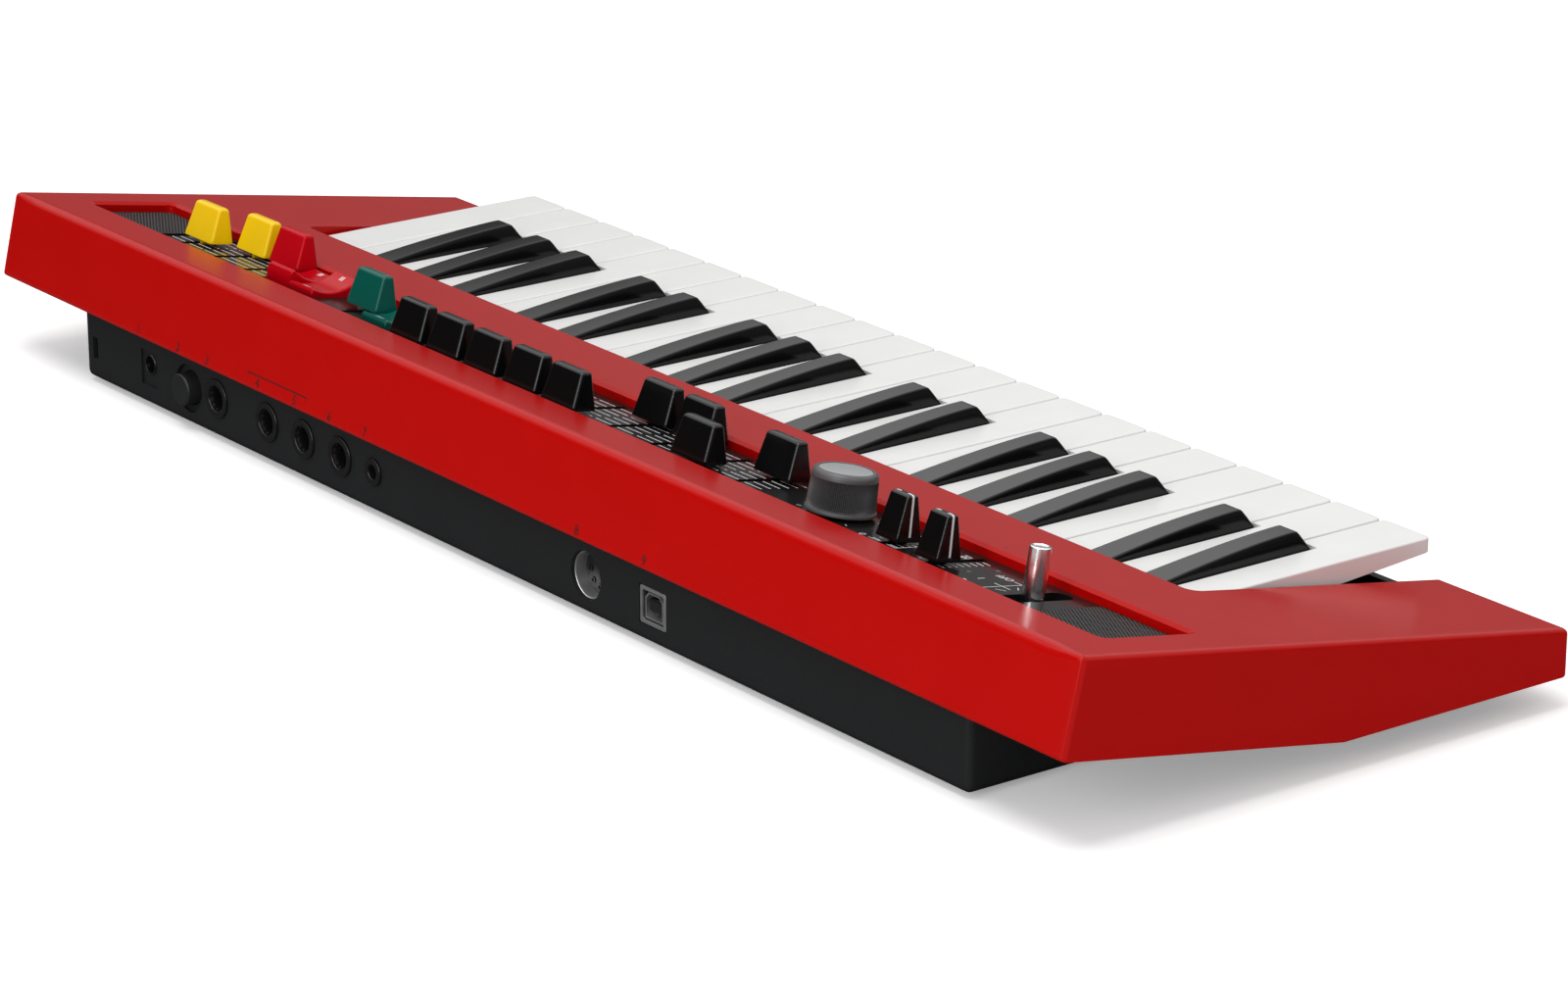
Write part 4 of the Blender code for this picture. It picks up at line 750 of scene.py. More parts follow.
def white_key(x, left_cut, right_cut, corner, edge):
    """A bar along y. Near the front the half width is less by corner - sqrt(corner^2 - (corner - s)^2) at the
    distance s from the front, and the top is lower by the same with the edge radius. Where a notch begins, the
    half width is drawn in by nose (1 - cos a) over the last nose sin a."""
    s = corner * (1 - np.cos(np.linspace(0, pi / 2, 9)))
    turn = np.linspace(0, pi / 2, 5)
    nose = 0.0006
    y_notch = NOTCH_Y - nose + nose * np.sin(turn)
    draw = nose * (1 - np.cos(turn))
    y_hook, z_hook = hook_stations()
    y = np.concatenate([KEY_FRONT_Y + s, y_notch, [NOTCH_Y, KEY_UNDERSIDE_Y], y_hook])
    front = corner - np.sqrt(np.maximum(corner**2 - (corner - s) ** 2, 0))
    half = (KEY_PITCH - KEY_GAP) / 2
    sides = []
    for cut in (left_cut, right_cut):
        ahead = np.concatenate([half - front, half - (draw if cut else 0 * draw)])
        behind = np.full(2 + len(y_hook), half - cut)
        sides.append(np.concatenate([ahead, behind]))
    dip = np.clip(y - KEY_FRONT_Y, 0, edge)
    top = KEY_TOP - edge + np.sqrt(np.maximum(edge**2 - (edge - dip) ** 2, 0))
    share = np.clip((y - KEY_FRONT_Y) / (KEY_UNDERSIDE_Y - KEY_FRONT_Y), 0, 1)
    bottom = KEY_NOSE + (KEY_UNDERSIDE - KEY_NOSE) * share
    bottom[-len(z_hook):] = z_hook
    return Shape().loft(bar(y, x - sides[0], x + sides[1], bottom, top, edge * 0.9, KEY_FOOT_EDGE))


def black_key(x, edge):
    """A bar along y whose top is the smooth lesser of the front slant and of the ridge, which falls to the
    rear as the power 1.5 of the distance. Above the white keys its sides lean in with the height."""
    slant_end, ridge_start, blend, sunk = 0.0075, 0.0095, 0.0007, 0.0004
    slant = np.linspace(0, slant_end, 16)
    ridge = np.linspace(ridge_start, BLACK_REAR_Y - BLACK_FRONT_Y, 14)
    s = np.concatenate([slant, ridge])
    length = BLACK_REAR_Y - BLACK_FRONT_Y - BLACK_SLANT
    up_front = KEY_TOP + BLACK_RISE * s / BLACK_SLANT
    fall = np.clip((s - BLACK_SLANT) / length, 0, 1) ** 1.5
    along = KEY_TOP + BLACK_RISE - (BLACK_RISE - BLACK_REAR_RISE) * fall
    top = (up_front + along - np.sqrt((up_front - along) ** 2 + blend**2)) / 2
    y_hook, z_hook = hook_stations()
    y = np.concatenate([BLACK_FRONT_Y + s, [BLACK_REAR_Y], y_hook])
    tail = np.full(1 + len(y_hook), KEY_TOP - sunk)
    top = np.concatenate([top, tail])
    bottom = np.full(len(y), KEY_UNDERSIDE)
    bottom[-len(z_hook):] = z_hook
    lean = (BLACK_WIDTH - BLACK_TOP_WIDTH) / 2 * np.clip((top - KEY_TOP) / BLACK_RISE, 0, 1)
    half = BLACK_WIDTH / 2
    return Shape().loft(bar(y, x - half, x + half, bottom, top, edge, KEY_FOOT_EDGE, lean, KEY_TOP, steps=5))


class WhiteKeys(bpy.types.Operator):
    """22 white keys, each cut round its black neighbours and hooked over the hinge bar"""

    bl_idname = "organ.white_keys"
    bl_label = "White keys"

    def execute(self, context):
        sizes = context.scene.organ_sizes
        for name, note, white in key_names():
            if note in BLACK_SHIFTS:
                continue
            x = (white - (WHITE_COUNT - 1) / 2) * KEY_PITCH
            left = notch_cut(-1, note) if note else 0.0
            right = notch_cut(1, note) if white < WHITE_COUNT - 1 else 0.0
            shape = white_key(x, left, right, sizes.key_corner, sizes.key_edge)
            make_piece(name + "_body", shape, ["key_white"], name, [name])
        return {"FINISHED"}


class BlackKeys(bpy.types.Operator):
    """15 black keys with a slanted front and a falling ridge"""

    bl_idname = "organ.black_keys"
    bl_label = "Black keys"

    def execute(self, context):
        for name, note, white in key_names():
            if note not in BLACK_SHIFTS:
                continue
            x = (white - WHITE_COUNT / 2) * KEY_PITCH + BLACK_SHIFTS[note]
            shape = black_key(x, context.scene.organ_sizes.black_edge)
            make_piece(name + "_body", shape, ["key_black"], name, [name])
        return {"FINISHED"}


def slider_table():
    """Name, x, place up the slope at rest, finish, narrow or wide cap."""
    rows = [
        (f"footage_slider_{i + 1}", x, rest, "cap_black", False)
        for i, (x, rest) in enumerate(zip(FOOTAGE_X, FOOTAGE_REST))
    ]
    rows += [
        ("vibrato_depth_slider", 0.1125, 0.0072, "cap_green", False),
        ("percussion_length_slider", COLOURED_SLOTS[0], 0.0, "cap_red", False),
        ("effect_slider_1", COLOURED_SLOTS[1], 0.0008, "cap_yellow", False),
        ("effect_slider_2", COLOURED_SLOTS[2], 0.008, "cap_yellow", False),
        ("octave_slider", OCTAVE_X, 0.0139, "cap_black", True),
        ("volume_slider", VOLUME_X, 0.0116, "cap_black", True),
    ]
    return [(name, x, SLIDER_FRONT + rest, finish, narrow) for name, x, rest, finish, narrow in rows]


class SliderCaps(bpy.types.Operator):
    """Tapered caps on flat stems; the two narrow ones carry a light line over their middle"""

    bl_idname = "organ.slider_caps"
    bl_label = "Slider caps"

    def execute(self, context):
        edge = context.scene.organ_sizes.cap_edge
        lift, dome = 0.0012, 0.00012
        stem_low, stem_high = [-0.0008, -0.0025, STEM_FOOT], [0.0008, 0.0025, lift + 0.001]
        for name, x, t, finish, narrow in slider_table():
            foot, head, height, corner, share = NARROW_CAP if narrow else WIDE_CAP
            rows = block(foot, head, lift, height, corner, edge * share, dome)
            place = about((x, t, PANEL))
            shape = Shape().loft(rows).slabs(stem_low, stem_high).placed(place)
            make_piece(name + "_cap", shape, [finish], name, [name])
            if narrow:
                line = Shape().loft(cap_line(rows)).placed(place)
                make_piece(name + "_line", line, ["white_ink"], name)
        return {"FINISHED"}


def cap_line(rows):
    """A thin band over a cap: the cap's outline in its middle plane, moved out by the film's thickness."""
    foot, half_width, sunk, film = 0.0018, 0.00035, 0.0001, 0.00004
    height, half = rows[:-1, 0, 2], rows[:-1, :, 0].max(1)
    path = np.concatenate([np.stack([-half, height], -1), np.stack([half, height], -1)[::-1]])
    path = path[path[:, 1] > foot]
    along = np.gradient(path, axis=0)
    along /= np.linalg.norm(along, axis=1)[:, None]
    out = np.stack([-along[:, 1], along[:, 0]], -1)
    near, far = path - out * sunk, path + out * film
    sections = []
    for y, side in ((-half_width, near), (-half_width, far), (half_width, far), (half_width, near)):
        sections.append(np.stack([side[:, 0], np.full(len(side), y), side[:, 1]], -1))
    return np.stack(sections, 1)


class RotaryLever(bpy.types.Operator):
    """Polished round lever with a dished, rimmed top"""

    bl_idname = "organ.rotary_lever"
    bl_label = "Rotary speed lever"

    def execute(self, context):
        radius, stem, height = 0.0030, 0.0028, 0.0139
        dish, rim, edge = 0.0003, 0.00012, 0.0004
        profile = [(AXIS, height - dish), (radius * 0.55, height - dish), (radius * 0.72, height - 0.00022)]
        profile += quarter((radius * 0.80, height - rim), rim, 150, 90, 4)
        profile += quarter((radius - edge, height - edge), edge, 90, 0, 7)
        profile += [(radius, h) for h in (0.010, 0.007, 0.004, 0.0004)]
        profile += [(stem, 0.0002), (stem, STEM_FOOT), (AXIS, STEM_FOOT)]
        shape = Shape().loft(turned(profile, 72)).placed(about(LEVER_PLACE))
        rod = make_piece("rotary_lever_rod", shape, ["lever_chrome"], "rotary_lever", ["rotary_lever"])
        return {"FINISHED"}


class WaveKnob(bpy.types.Operator):
    """Ribbed knob with a thin skirt and a brushed insert inside its rim"""

    bl_idname = "organ.wave_knob"
    bl_label = "Wave knob"

    def execute(self, context):
        sizes = context.scene.organ_sizes
        place = about(KNOB_PLACE)
        rib_span = (0.0023, 0.01045)
        rows = turned(self.body_profile(), sizes.knob_ribs * 6, sizes.knob_ribs, sizes.rib_depth, rib_span)
        body = Shape().loft(rows).placed(place)
        make_piece("wave_knob_body", body, ["knob_charcoal"], "wave_knob", ["wave_knob"])
        high, low, radius, edge = 0.0125, 0.0119, 0.00745, 0.0001
        disc = [(AXIS, high), (0.0073, high), (radius, high - edge), (radius, low), (AXIS, low)]
        insert = Shape().loft(turned(disc, 96)).placed(place)
        make_piece("wave_knob_insert", insert, ["silver_insert"], "wave_knob")
        return {"FINISHED"}

    def body_profile(self):
        """The floor inside the rim, the rim, a shoulder that is a quarter of an ellipse, a wall whose radius goes
        evenly from foot to head, the skirt and the shaft."""
        top, floor, rim, lip = 0.0127, 0.0121, 0.0078, 0.00015
        head, foot, foot_level, drop = 0.0091, 0.0096, 0.0018, 0.0018
        shaft, skirt = 0.003, 0.0009

        def wall(h):
            """The wall's radius at a height."""
            return foot + (head - foot) * (h - foot_level) / (top - foot_level)

        profile = [(AXIS, floor), (rim - 2 * lip, floor), (rim - 2 * lip, top - lip)]
        profile += quarter((rim - lip, top - lip), lip, 170, 90, 3)
        fall = np.radians(np.linspace(8, 90, 9))
        wide = wall(top - drop) - rim
        profile += np.stack([rim + wide * np.sin(fall), top - drop + drop * np.cos(fall)], -1).tolist()
        profile += [(wall(h), h) for h in (0.0107, 0.0105, 0.0104, 0.0080, 0.0060, 0.0040, 0.0024, 0.0022, 0.0020)]
        profile += [(0.0098, 0.0019), (0.0099, 0.0017), (0.0099, 0.0011), (0.0097, skirt)]
        return profile + [(shaft, skirt), (shaft, STEM_FOOT), (AXIS, STEM_FOOT)]


class Rockers(bpy.types.Operator):
    """Three rocker switches with a dished top, tipped to the front or to the rear"""

    bl_idname = "organ.rockers"
    bl_label = "Rockers"

    def execute(self, context):
        table = (
            ("vibrato_rocker", 0.0965, -1, "cap_green", "rocker_green"),
            ("percussion_rocker_1", 0.1374, -1, "cap_red", "rocker_red"),
            ("percussion_rocker_2", 0.1520, 1, "cap_red", "rocker_red"),
        )
        for name, x, side, finish, slot in table:
            place = tipped(x, side * ROCKER_TIP)
            make_piece(name + "_cap", rocker().placed(place), [finish], name, [name])
            make_piece(name + "_marks", rocker_marks().placed(place), ["white_ink"], name)
        return {"FINISHED"}


def tipped(x, angle):
    """A placer for a rocker: turned by the angle about the axis across the panel, then set on its pivot."""
    turn = np.array(Matrix.Rotation(angle, 3, "X"))
    offset = np.array([x, ROCKER_T, PANEL - ROCKER_PIVOT])
    return lambda points: on_slope(points @ turn.T + offset)


def rocker_top(t, lip=0.0079, rise=0.0062, dish=0.0040):
    """dish + (rise - dish) (t / lip)^2 out to the lip, then a fall to the end."""
    away = np.clip((abs(t) - lip) / (ROCKER_HALF - lip), 0, 1)
    return np.where(abs(t) < lip, dish + (rise - dish) * (t / lip) ** 2, rise - 0.20 * rise * away**1.6)


def rocker():
    """A bar along t with a dished top; the underside is a half circle about the pivot."""
    half, half_width, belly, wing, end_depth = ROCKER_HALF, 0.0066, 0.0046, 0.0002, 0.0016
    t = np.concatenate([[-half * 0.995], np.linspace(-half * 0.97, half * 0.97, 41), [half * 0.995]])
    top = rocker_top(t)
    low = np.clip((abs(t) - half * 0.93) / (half * 0.07), 0, 1)
    bottom = np.where(abs(t) < belly, -np.sqrt(np.maximum(belly**2 - t**2, 0)), -wing)
    bottom = bottom + low * (top - end_depth + wing)
    return Shape().loft(bar(t, -half_width, half_width, bottom, top, 0.0008, 0.0002, steps=5))


def rocker_marks(reach=0.0064, half_length=0.0008, half_width=0.0003, pitch=0.0011):
    """Two short bars over one end of a rocker and three over the other, on its dished top."""
    sunk, film = 0.00004, 0.00003
    marks = Shape()
    for middle, count in ((-reach, 2), (reach, 3)):
        t = np.linspace(middle - half_length, middle + half_length, 5)
        low, high = rocker_top(t) - sunk, rocker_top(t) + film
        for k in range(count):
            x = pitch * (k - (count - 1) / 2)
            marks.loft(bar(t, x - half_width, x + half_width, low, high, 0.00002, 0.00001))
    return marks


class PowerButton(bpy.types.Operator):
    """Round push button with a softly edged, slightly hollow face"""

    bl_idname = "organ.power_button"
    bl_label = "Power button"

    def execute(self, context):
        rise, radius, edge, foot = 0.0034, 0.0052, 0.0008, -0.009
        profile = [(AXIS, rise - 0.0003), (radius * 0.4, rise - 0.00026), (radius * 0.7, rise - 0.0001)]
        profile += quarter((radius - edge, rise - edge), edge, 90, 0, 7)
        profile += [(radius, 0.0), (radius, foot), (AXIS, foot)]
        shape = Shape().loft(turned(profile, 72)).placed(on_rear_wall(*POWER_BUTTON))
        cap = make_piece("power_button_cap", shape, ["button_grey"], "power_button", ["power_button"])
        return {"FINISHED"}


class PanelPrint(bpy.types.Operator):
    """White dashes between the slider slots, a line chart by the lever, figures, and two lamp windows"""

    bl_idname = "organ.panel_print"
    bl_label = "Panel print"

    def execute(self, context):
        low, high = PANEL + INK_LOW, PANEL + INK_HIGH
        dash_width, line_width, panel_size, case_size, figures_t = 0.00034, 0.00026, 0.0034, 0.0026, 0.0285
        shape = Shape().strokes(np.vstack([self.dashes(), self.ticks()]), dash_width, low, high)
        shape.strokes(self.chart() + self.knob_rays(), line_width, low, high)
        make_piece("panel_marks", shape.placed(on_slope), ["white_ink"], "case")
        rows = [
            ("2", -0.1862, 0.0560), ("1", -0.1862, 0.0495), ("OFF", -0.1872, 0.0420),
            ("0", -0.1418, 0.0542), ("10", -0.1675, 0.0395),
        ]
        figures = lettering("panel_figures", rows, panel_size, about((0.0, 0.0, PANEL)), "white_ink", "case")
        rows = [(str(i + 1), x, figures_t) for i, x in enumerate(FOOTAGE_X)]
        rows += [("10", VOLUME_X, figures_t), ("11", OCTAVE_X, figures_t)]
        lettering("slider_figures", rows, case_size, on_slope, "faint_ink", "case")
        make_piece("lamp_windows", self.lamp_windows(), ["lamp_window"], "case")
        return {"FINISHED"}

    def dashes(self):
        """Seven level dashes to either side of each wide slot, from near it to halfway to the next."""
        near, far, pitch = 0.0014, 0.0091, 0.00313
        slots = np.append(FOOTAGE_X, COLOURED_SLOTS)[:, None, None]
        level = (SLIDER_FRONT + np.arange(7) * pitch)[None, :, None]
        side = np.array([-1, 1])[None, None]
        rows = np.broadcast_arrays(slots + side * near, level, slots + side * far, level)
        return np.stack(rows, -1).reshape(-1, 4)

    def ticks(self):
        """Nine ticks to either side of each narrow slot, evenly over its travel."""
        near, far = 0.0022, 0.0052
        levels = SLIDER_FRONT + np.arange(9) * SLIDER_TRAVEL / 8
        return [
            (x + side * near, t, x + side * far, t)
            for x in (OCTAVE_X, VOLUME_X) for t in levels for side in (-1, 1)
        ]

    def chart(self):
        """Lines by the lever, and two brackets by the narrow sliders: x and t of both ends."""
        return [
            (-0.1940, 0.0421, -0.1940, 0.0573), (-0.1908, 0.0490, -0.1974, 0.0490),
            (-0.1908, 0.0573, -0.1940, 0.0573), (-0.1908, 0.0421, -0.1940, 0.0421),
            (-0.1960, 0.0530, -0.1982, 0.0512), (-0.1960, 0.0452, -0.1982, 0.0470),
            (-0.1521, 0.0542, -0.1562, 0.0545), (-0.1562, 0.0545, -0.1560, 0.0470),
            (-0.1560, 0.0470, -0.1532, 0.0472), (-0.1446, 0.0545, -0.1492, 0.0541),
        ]

    def knob_rays(self):
        """Short rays round the knob."""
        near, far = 0.0112, 0.0128
        turn = np.radians([-150, -120, -90, -60, -30, 150, 30])
        ray = np.stack([np.cos(turn), np.sin(turn)], -1)
        middle = np.array(KNOB_PLACE[:2])
        return np.hstack([middle + near * ray, middle + far * ray]).tolist()

    def lamp_windows(self):
        """Two low lenses: a flattened profile carried round."""
        radius, depth = 0.0009, -0.0002
        lens = [(AXIS, 0.00022), (0.0004, 0.0002), (0.0007, 0.00012), (radius, 0.00001)]
        lens += [(radius, depth), (AXIS, depth)]
        shape = Shape()
        for x, t in ((-0.1797, 0.0485), (-0.1804, 0.0391)):
            shape.loft(turned(lens, 24) + np.array([x, t, PANEL]))
        return shape.placed(on_slope)


class RearPrint(bpy.types.Operator):
    """Plain figures over the sockets on the rear face, and a bracket over two of them"""

    bl_idname = "organ.rear_print"
    bl_label = "Rear print"

    def execute(self, context):
        figures_down, bracket_down, tip, size, width = -0.0248, -0.0225, 0.0011, 0.0042, 0.00035
        places = (0.1800, 0.1564, 0.1394, 0.1105, 0.0899, 0.0706, 0.0517, -0.0560, -0.0876)
        rows = [(str(i + 1), -x, figures_down) for i, x in enumerate(places)]
        lettering("socket_figures", rows, size, on_rear_face, "dark_ink", "case")
        rows = [(-0.1163, bracket_down, -0.0839, bracket_down)]
        rows += [(u, bracket_down, u, bracket_down - tip) for u in (-0.1162, -0.0840)]
        shape = Shape().strokes(rows, width, INK_LOW, INK_HIGH).placed(on_rear_face)
        make_piece("socket_bracket", shape, ["dark_ink"], "case")
        return {"FINISHED"}


class Underside(bpy.types.Operator):
    """Four rubber feet and eight cross-slotted screws"""

    bl_idname = "organ.underside"
    bl_label = "Underside"

    def execute(self, context):
        sole, top = 0.00005, 0.00148
        profile = [(AXIS, sole), (0.0048, sole)] + quarter((0.0054, 0.0006), 0.00055, 270, 360, 6)
        profile += [(0.00620, 0.0014), (0.00622, top), (AXIS, top)]
        feet, screws = Shape(), Shape()
        for x in FEET_X:
            for y in FEET_Y:
                feet.loft(turned(profile, 48) + np.array([x, y, 0.0]))
        head_down = screw_head() * np.array([1, -1, -1])
        for x in SCREWS_X:
            for y in SCREWS_Y:
                screws.loft(head_down + np.array([x, y, SCREW_Z]))
        make_piece("rubber_feet", feet, ["foot_rubber"], "case")
        make_piece("base_screws", screws, ["screw_steel"], "case")
        return {"FINISHED"}


def screw_head(radius=0.0024, dome=0.0007, slot=0.00035, reach=0.0013, slope=0.0002, rim=0.0003):
    """Rings from the rim inwards: dome (1 - (r / R)^2), less a cross as deep as the dome within its reach."""
    share = np.concatenate([[1.0], np.linspace(1.0, 0.03, 16)])[:, None]
    angle = np.arange(40) * pi / 20
    x, y = radius * share * np.cos(angle), radius * share * np.sin(angle)
    across = np.clip((slot - np.minimum(abs(x), abs(y))) / slope, 0, 1)
    inside = np.clip((reach - np.hypot(x, y)) / slope, 0, 1)
    z = dome * (1 - share**2) - dome * across * inside + rim
    z[0] = 0.0
    return np.stack([x, y, z], -1)


class RearSockets(bpy.types.Operator):
    """Jack rings, the round and the square data socket, and the power inlet with its pin"""

    bl_idname = "organ.rear_sockets"
    bl_label = "Rear sockets"

    def execute(self, context):
        large = jack_profile(ring=0.00615, mouth=0.0044, bore=0.0031, depth=0.0160)
        small = jack_profile(ring=0.00425, mouth=0.0026, bore=0.00165, depth=0.0110)
        for name, x in JACKS:
            self.make_tube(name + "_ring", turned(large, 64), on_rear_wall(x, JACK_Z), "socket_black")
        self.make_tube("aux_jack_ring", turned(small, 48), on_rear_wall(AUX_JACK_X, JACK_Z), "socket_black")
        self.make_round_data_socket(on_rear_wall(*ROUND_DATA_SOCKET))
        self.make_square_data_socket(on_rear_wall(*SQUARE_DATA_SOCKET))
        self.make_power_inlet(on_rear_wall(*POWER_INLET))
        return {"FINISHED"}

    def make_tube(self, name, rows, place, finish):
        """A piece whose last outline joins its first, as a ring or a shell."""
        make_piece(name, Shape().loft(rows, closed=True).placed(place), [finish], "case")

    def make_round_data_socket(self, place):
        """A metal ring with a soft rim, and a black face with five pin holes in a half circle."""
        outer, wall, shell_depth, shell_front = 0.0070, 0.0005, -0.0055, -0.0012
        ring = [(outer, shell_depth), (outer, shell_front)]
        ring += quarter((outer - wall / 2, shell_front), wall / 2, 0, 180, 7) + [(outer - wall, shell_depth)]
        self.make_tube("din_shield", turned(ring, 72), place, "socket_metal")
        radius, front, back = 0.00645, -0.0048, -0.0058
        face = [(AXIS, front), (0.0064, front), (radius, -0.0050), (radius, back), (AXIS, back)]
        shape = Shape().loft(turned(face, 64))
        circle, outside, bore, foot, lip = 0.0044, 0.00095, 0.00055, -0.0049, -0.0045
        tube = turned([(outside, foot), (outside, lip), (bore, lip), (bore, foot)], 20)
        for a in radians(180) * np.arange(5) / 4:
            shape.loft(tube + np.array([circle * cos(a), -circle * sin(a), 0.0]), closed=True)
        make_piece("din_face", shape.placed(place), ["socket_black"], "case")

    def make_square_data_socket(self, place):
        """A metal shell with two cut upper corners: the same outline at four depths and widths. A rim with round
        corners lies round it, and a tongue inside."""
        half, low, high, cut_x, cut_z = 0.0041, -0.0038, 0.0038, 0.0026, 0.0022
        outline = [(-half, low), (half, low), (half, cut_z), (cut_x, high), (-cut_x, high), (-half, cut_z)]
        inner, back, front = 0.90, -0.0095, -0.0006
        rows = [
            np.column_stack([np.array(outline) * scale, np.full(6, depth)])
            for scale, depth in ((1.0, back), (1.0, front), (inner, front), (inner, back))
        ]
        self.make_tube("data_shell", rows, place, "socket_metal")
        corner, foot, face = 0.0006, -0.0007, -0.0001
        rings = ((0.0060, 0.0054, foot), (0.0060, 0.0054, -0.0002), (0.0058, 0.0052, face), (0.0049, 0.0044, face))
        turn, across, up = quarter_turns(3)
        rim = []
        for x, z, depth in rings + ((0.0049, 0.0044, foot),):
            wide, tall = across * (x - corner), up * (z - corner)
            ring = [wide + corner * np.cos(turn), tall + corner * np.sin(turn), np.full(turn.shape, depth)]
            rim.append(np.stack(ring, -1))
        self.make_tube("data_rim", rim, place, "socket_metal")
        depth = np.array([back, -0.0018, -0.0016])
        tongue = bar(depth, -0.0028, 0.0028, -0.0012, [0.0020, 0.0020, 0.0018], 0.0002, 0.0002)
        shape = Shape().loft(tongue[..., [0, 2, 1]]).placed(place)
        make_piece("data_tongue", shape, ["socket_black"], "case")

    def make_power_inlet(self, place):
        """A ring with a soft mouth round a thin pin with a blunt end."""
        outer, wall, bore, foot, back = 0.0033, 0.0027, 0.0025, -0.0010, -0.0095
        ring = [(outer, foot), (outer, -0.0005), (0.0031, -0.0003), (wall, -0.0003), (bore, -0.0006)]
        ring += [(bore, back), (wall, back), (wall, foot)]
        self.make_tube("inlet_ring", turned(ring, 48), place, "socket_black")
        radius, pin_back = 0.0007, -0.0098
        pin = [(AXIS, -0.0022), (0.0004, -0.0023), (radius, -0.0028), (radius, pin_back), (AXIS, pin_back)]
        make_piece("inlet_pin", Shape().loft(turned(pin, 32)).placed(place), ["socket_metal"], "case")


def jack_profile(ring, mouth, bore, depth):
    """Outer edge, soft rim, funnel and bore of a jack, and back inside the wall."""
    rise, edge, lip, wall = 0.00075, 0.00035, 0.0004, 0.0002
    profile = [(ring, -0.0004)] + quarter((ring - edge, rise - edge), edge, 0, 90, 5)
    profile += quarter((mouth, rise - lip), lip, 90, 180, 4)
    profile += [(mouth - 0.0005, -0.0002), (bore, -0.0022), (bore, -depth)]
    return profile + [(bore + wall, -depth), (bore + wall, -0.0026)]


class Stage(bpy.types.Operator):
    """Pale floor, even light, a lamp above, one behind the camera, a narrow one beside it, and the camera"""

    bl_idname = "organ.stage"
    bl_label = "Stage"

    def execute(self, context):
        settings = context.scene.organ_stage
        context.scene.view_settings.view_transform = "Standard"
        self.make_floor()
        self.make_world(context.scene.world or bpy.data.worlds.new("studio"), settings.ambient)
        lamp("overhead", place=(-0.1, 0.35, 1.5), target=(0.0, 0.0, 0.0), size=1.0, watts=settings.overhead)
        lamp("side", place=(-0.7, 1.5, 0.8), target=(0.0, 0.0, 0.02), size=0.9, watts=settings.side)
        strip = lamp("strip", place=(-0.80, 1.40, 0.44), target=(0.0, 0.0, 0.02), size=0.04, watts=settings.strip)
        strip.data.shape, strip.data.size_y = "RECTANGLE", 0.80
        self.make_camera(settings.lens)
        return {"FINISHED"}

    def make_floor(self):
        """A wide flat square: white to the camera and pale to the light that it sends back. Gloss sees it dim,
        less so close to the organ, and bright towards the camera."""
        half = 6
        mesh = bpy.data.meshes.new("floor")
        corners = [(-half, -half, 0), (half, -half, 0), (half, half, 0), (-half, half, 0)]
        mesh.from_pydata(corners, [], [(0, 1, 2, 3)])
        floor = bpy.data.objects.new("floor", mesh)
        bpy.context.scene.collection.objects.link(floor)
        s = new_finish("floor_pale")
        seen, glossy = s.ray("Camera"), s.ray("Glossy")
        toward = s.vector("DOT_PRODUCT", s.place(), (-1.0, 1.0, 0.0))
        far = s.vector("LENGTH", s.place())
        dim = 0.02 + 0.08 * (1 - s.ramp(far, 0.35, 0.7)) + 0.65 * s.ramp(toward, 0.36, 0.48)
        pale, white, black = (0.80, 0.80, 0.80, 1), (1, 1, 1, 1), (0, 0, 0, 1)
        tone = s.blend(glossy, s.blend(seen, pale, white), s.grey(dim))
        glow = s.blend(seen, black, white)
        matt = {"Roughness": 1.0, "Specular_IOR_Level": 0.0}
        s.surface(Base_Color=tone, Emission_Color=glow, Emission_Strength=0.28, **matt)
        mesh.materials.append(FINISHES["floor_pale"])

    def make_world(self, world, ambient):
        """White where the camera looks and in glass. In gloss it is dark at the horizon and gets brighter in three
        steps with height, with a dark screen behind the organ's far end and a dim patch beside it. All other rays
        get the ambient level. x, y and z are the ray's direction."""
        bpy.context.scene.world = world
        s = Shading(world)
        camera, glossy, glass = s.ray("Camera"), s.ray("Glossy"), s.ray("Transmission")
        toward = s.add("ShaderNodeTexCoord", {}, output="Generated")
        x, y, z = (s.add("ShaderNodeSeparateXYZ", {0: toward}, output=axis) for axis in range(3))
        screen = s.ramp(y, 0.30, 0.50) * s.ramp(x, 0.35, 0.60) * (1 - s.ramp(z, 0.35, 0.55))
        patch = s.ramp(x, 0.76, 0.80) * s.ramp(z, 0.12, 0.20) * (1 - s.ramp(z, 0.36, 0.50))
        sky = 0.20 * s.ramp(z, 0.0, 0.05) + 0.60 * s.ramp(z, 0.13, 0.33) + 0.70 * s.ramp(z, 0.36, 0.48)
        in_gloss = 0.02 + sky * (1 - 0.9 * patch) * (1 - screen)
        seen = s.add("ShaderNodeMath", {0: camera, 1: glass}, operation="MAXIMUM")
        level = ambient + (1 - ambient) * seen
        strength = level + glossy * (in_gloss - level)
        light = s.add("ShaderNodeBackground", {"Color": (1, 1, 1, 1), "Strength": strength})
        s.add("ShaderNodeOutputWorld", {"Surface": light})

    def make_camera(self, lens):
        """The photograph's view: place and directions come from a pinhole camera fitted to the case's corners."""
        data = bpy.data.cameras.new("photo_view")
        data.lens, data.sensor_width, data.clip_start = lens, 36.0, 0.05
        camera = bpy.data.objects.new("photo_view", data)
        bpy.context.scene.collection.objects.link(camera)
        place = Vector((-1.2033394, 0.8810956, 0.5118787))
        right = Vector((-0.6017551, -0.7986782, 0.0019775))
        down = Vector((-0.2578246, 0.1919104, -0.9469408))
        ahead = Vector((0.7559215, -0.5703364, -0.3214019))
        turn = Matrix((right, -down, -ahead)).transposed()
        camera.matrix_world = Matrix.Translation(place) @ turn.to_4x4()
        bpy.context.scene.camera = camera


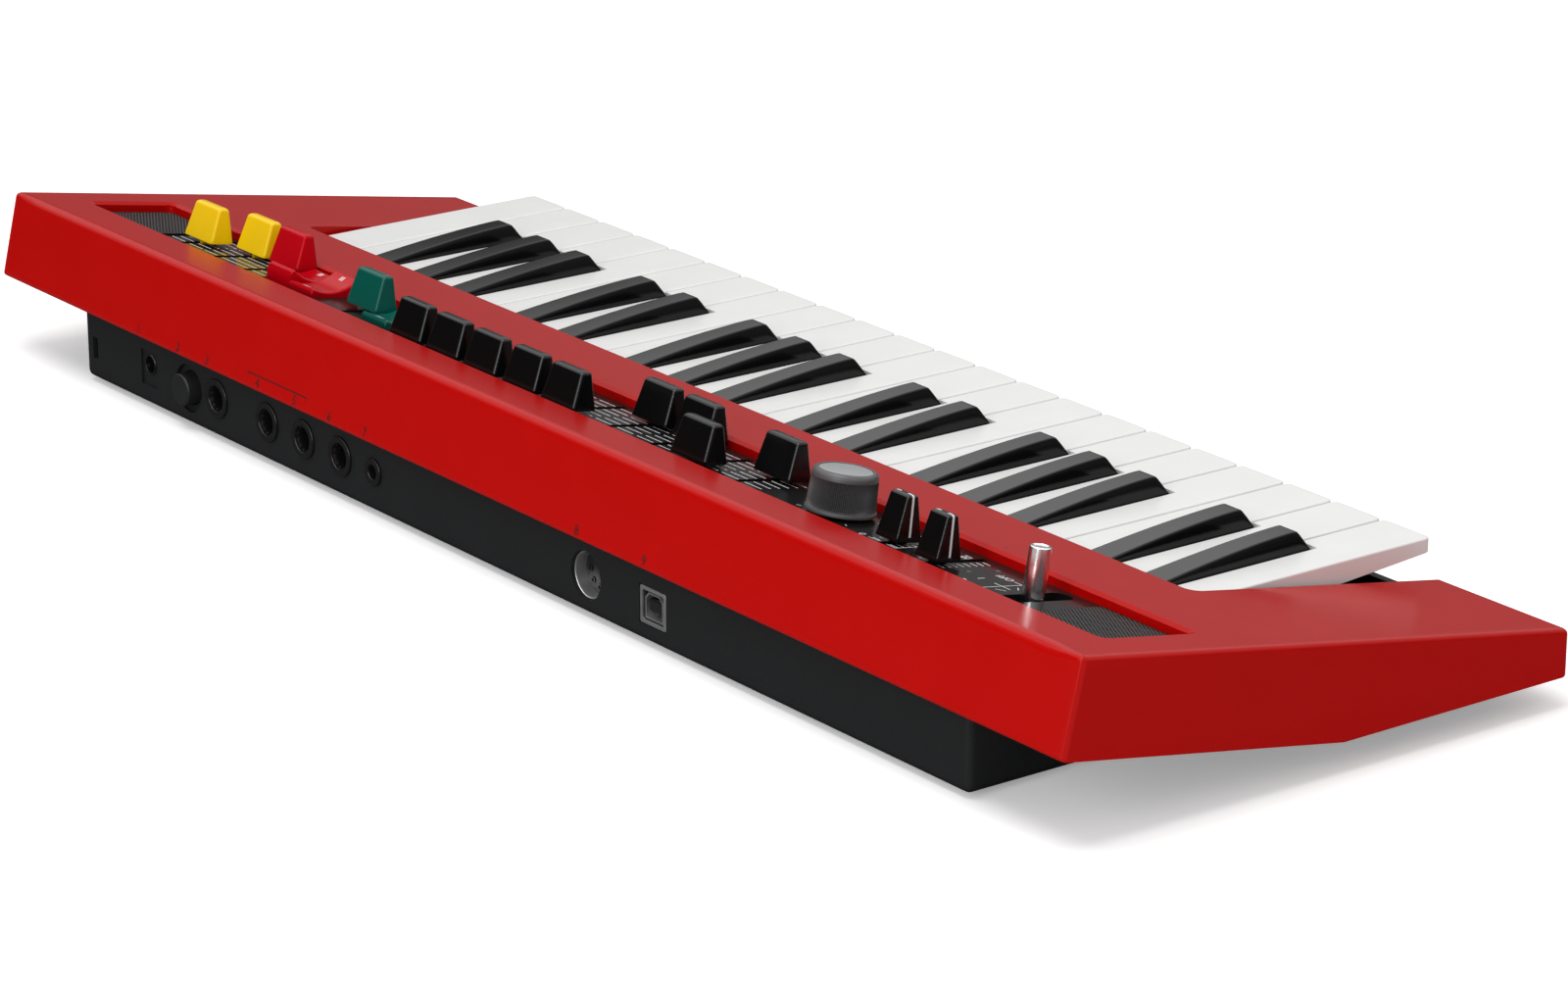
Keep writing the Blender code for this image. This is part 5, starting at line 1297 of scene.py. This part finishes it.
def lamp(name, place, target, size, watts):
    """A round area lamp at a place, turned to its target."""
    data = bpy.data.lights.new(name, "AREA")
    data.shape, data.size, data.energy = "DISK", size, watts
    light = bpy.data.objects.new(name, data)
    bpy.context.scene.collection.objects.link(light)
    light.location = place
    light.rotation_euler = (Vector(target) - Vector(place)).to_track_quat("-Z", "Y").to_euler()
    return light


class OrganPanel(bpy.types.Panel):
    """The steps and settings of the organ"""

    bl_idname = "VIEW3D_PT_organ"
    bl_label = "Combo organ"
    bl_space_type = "VIEW_3D"
    bl_region_type = "UI"
    bl_category = "Organ"

    def draw(self, context):
        for operator in OPERATORS:
            self.layout.operator(operator.bl_idname)
        for group in (context.scene.organ_colours, context.scene.organ_sizes, context.scene.organ_stage):
            for key in group.bl_rna.properties.keys():
                if key not in ("rna_type", "name"):
                    self.layout.prop(group, key)


OPERATORS = (
    CaseShells, SpeakerGrilles, WhiteKeys, BlackKeys, SliderCaps, RotaryLever, WaveKnob, Rockers, PowerButton,
    PanelPrint, RearPrint, Underside, RearSockets, Stage,
)
GROUPS = (OrganColours, OrganSizes, OrganStage)


def register():
    for item in GROUPS + OPERATORS + (OrganPanel,):
        bpy.utils.register_class(item)
    bpy.types.Scene.organ_colours = PointerProperty(type=OrganColours)
    bpy.types.Scene.organ_sizes = PointerProperty(type=OrganSizes)
    bpy.types.Scene.organ_stage = PointerProperty(type=OrganStage)


def unregister():
    del bpy.types.Scene.organ_stage
    del bpy.types.Scene.organ_sizes
    del bpy.types.Scene.organ_colours
    for item in reversed(GROUPS + OPERATORS + (OrganPanel,)):
        bpy.utils.unregister_class(item)


def main():
    register()
    make_finishes(bpy.context.scene.organ_colours)
    bpy.ops.organ.case_shells()
    bpy.ops.organ.speaker_grilles()
    bpy.ops.organ.white_keys()
    bpy.ops.organ.black_keys()
    bpy.ops.organ.slider_caps()
    bpy.ops.organ.rotary_lever()
    bpy.ops.organ.wave_knob()
    bpy.ops.organ.rockers()
    bpy.ops.organ.power_button()
    bpy.ops.organ.panel_print()
    bpy.ops.organ.rear_print()
    bpy.ops.organ.underside()
    bpy.ops.organ.rear_sockets()
    bpy.ops.organ.stage()


if __name__ == "__main__":
    main()
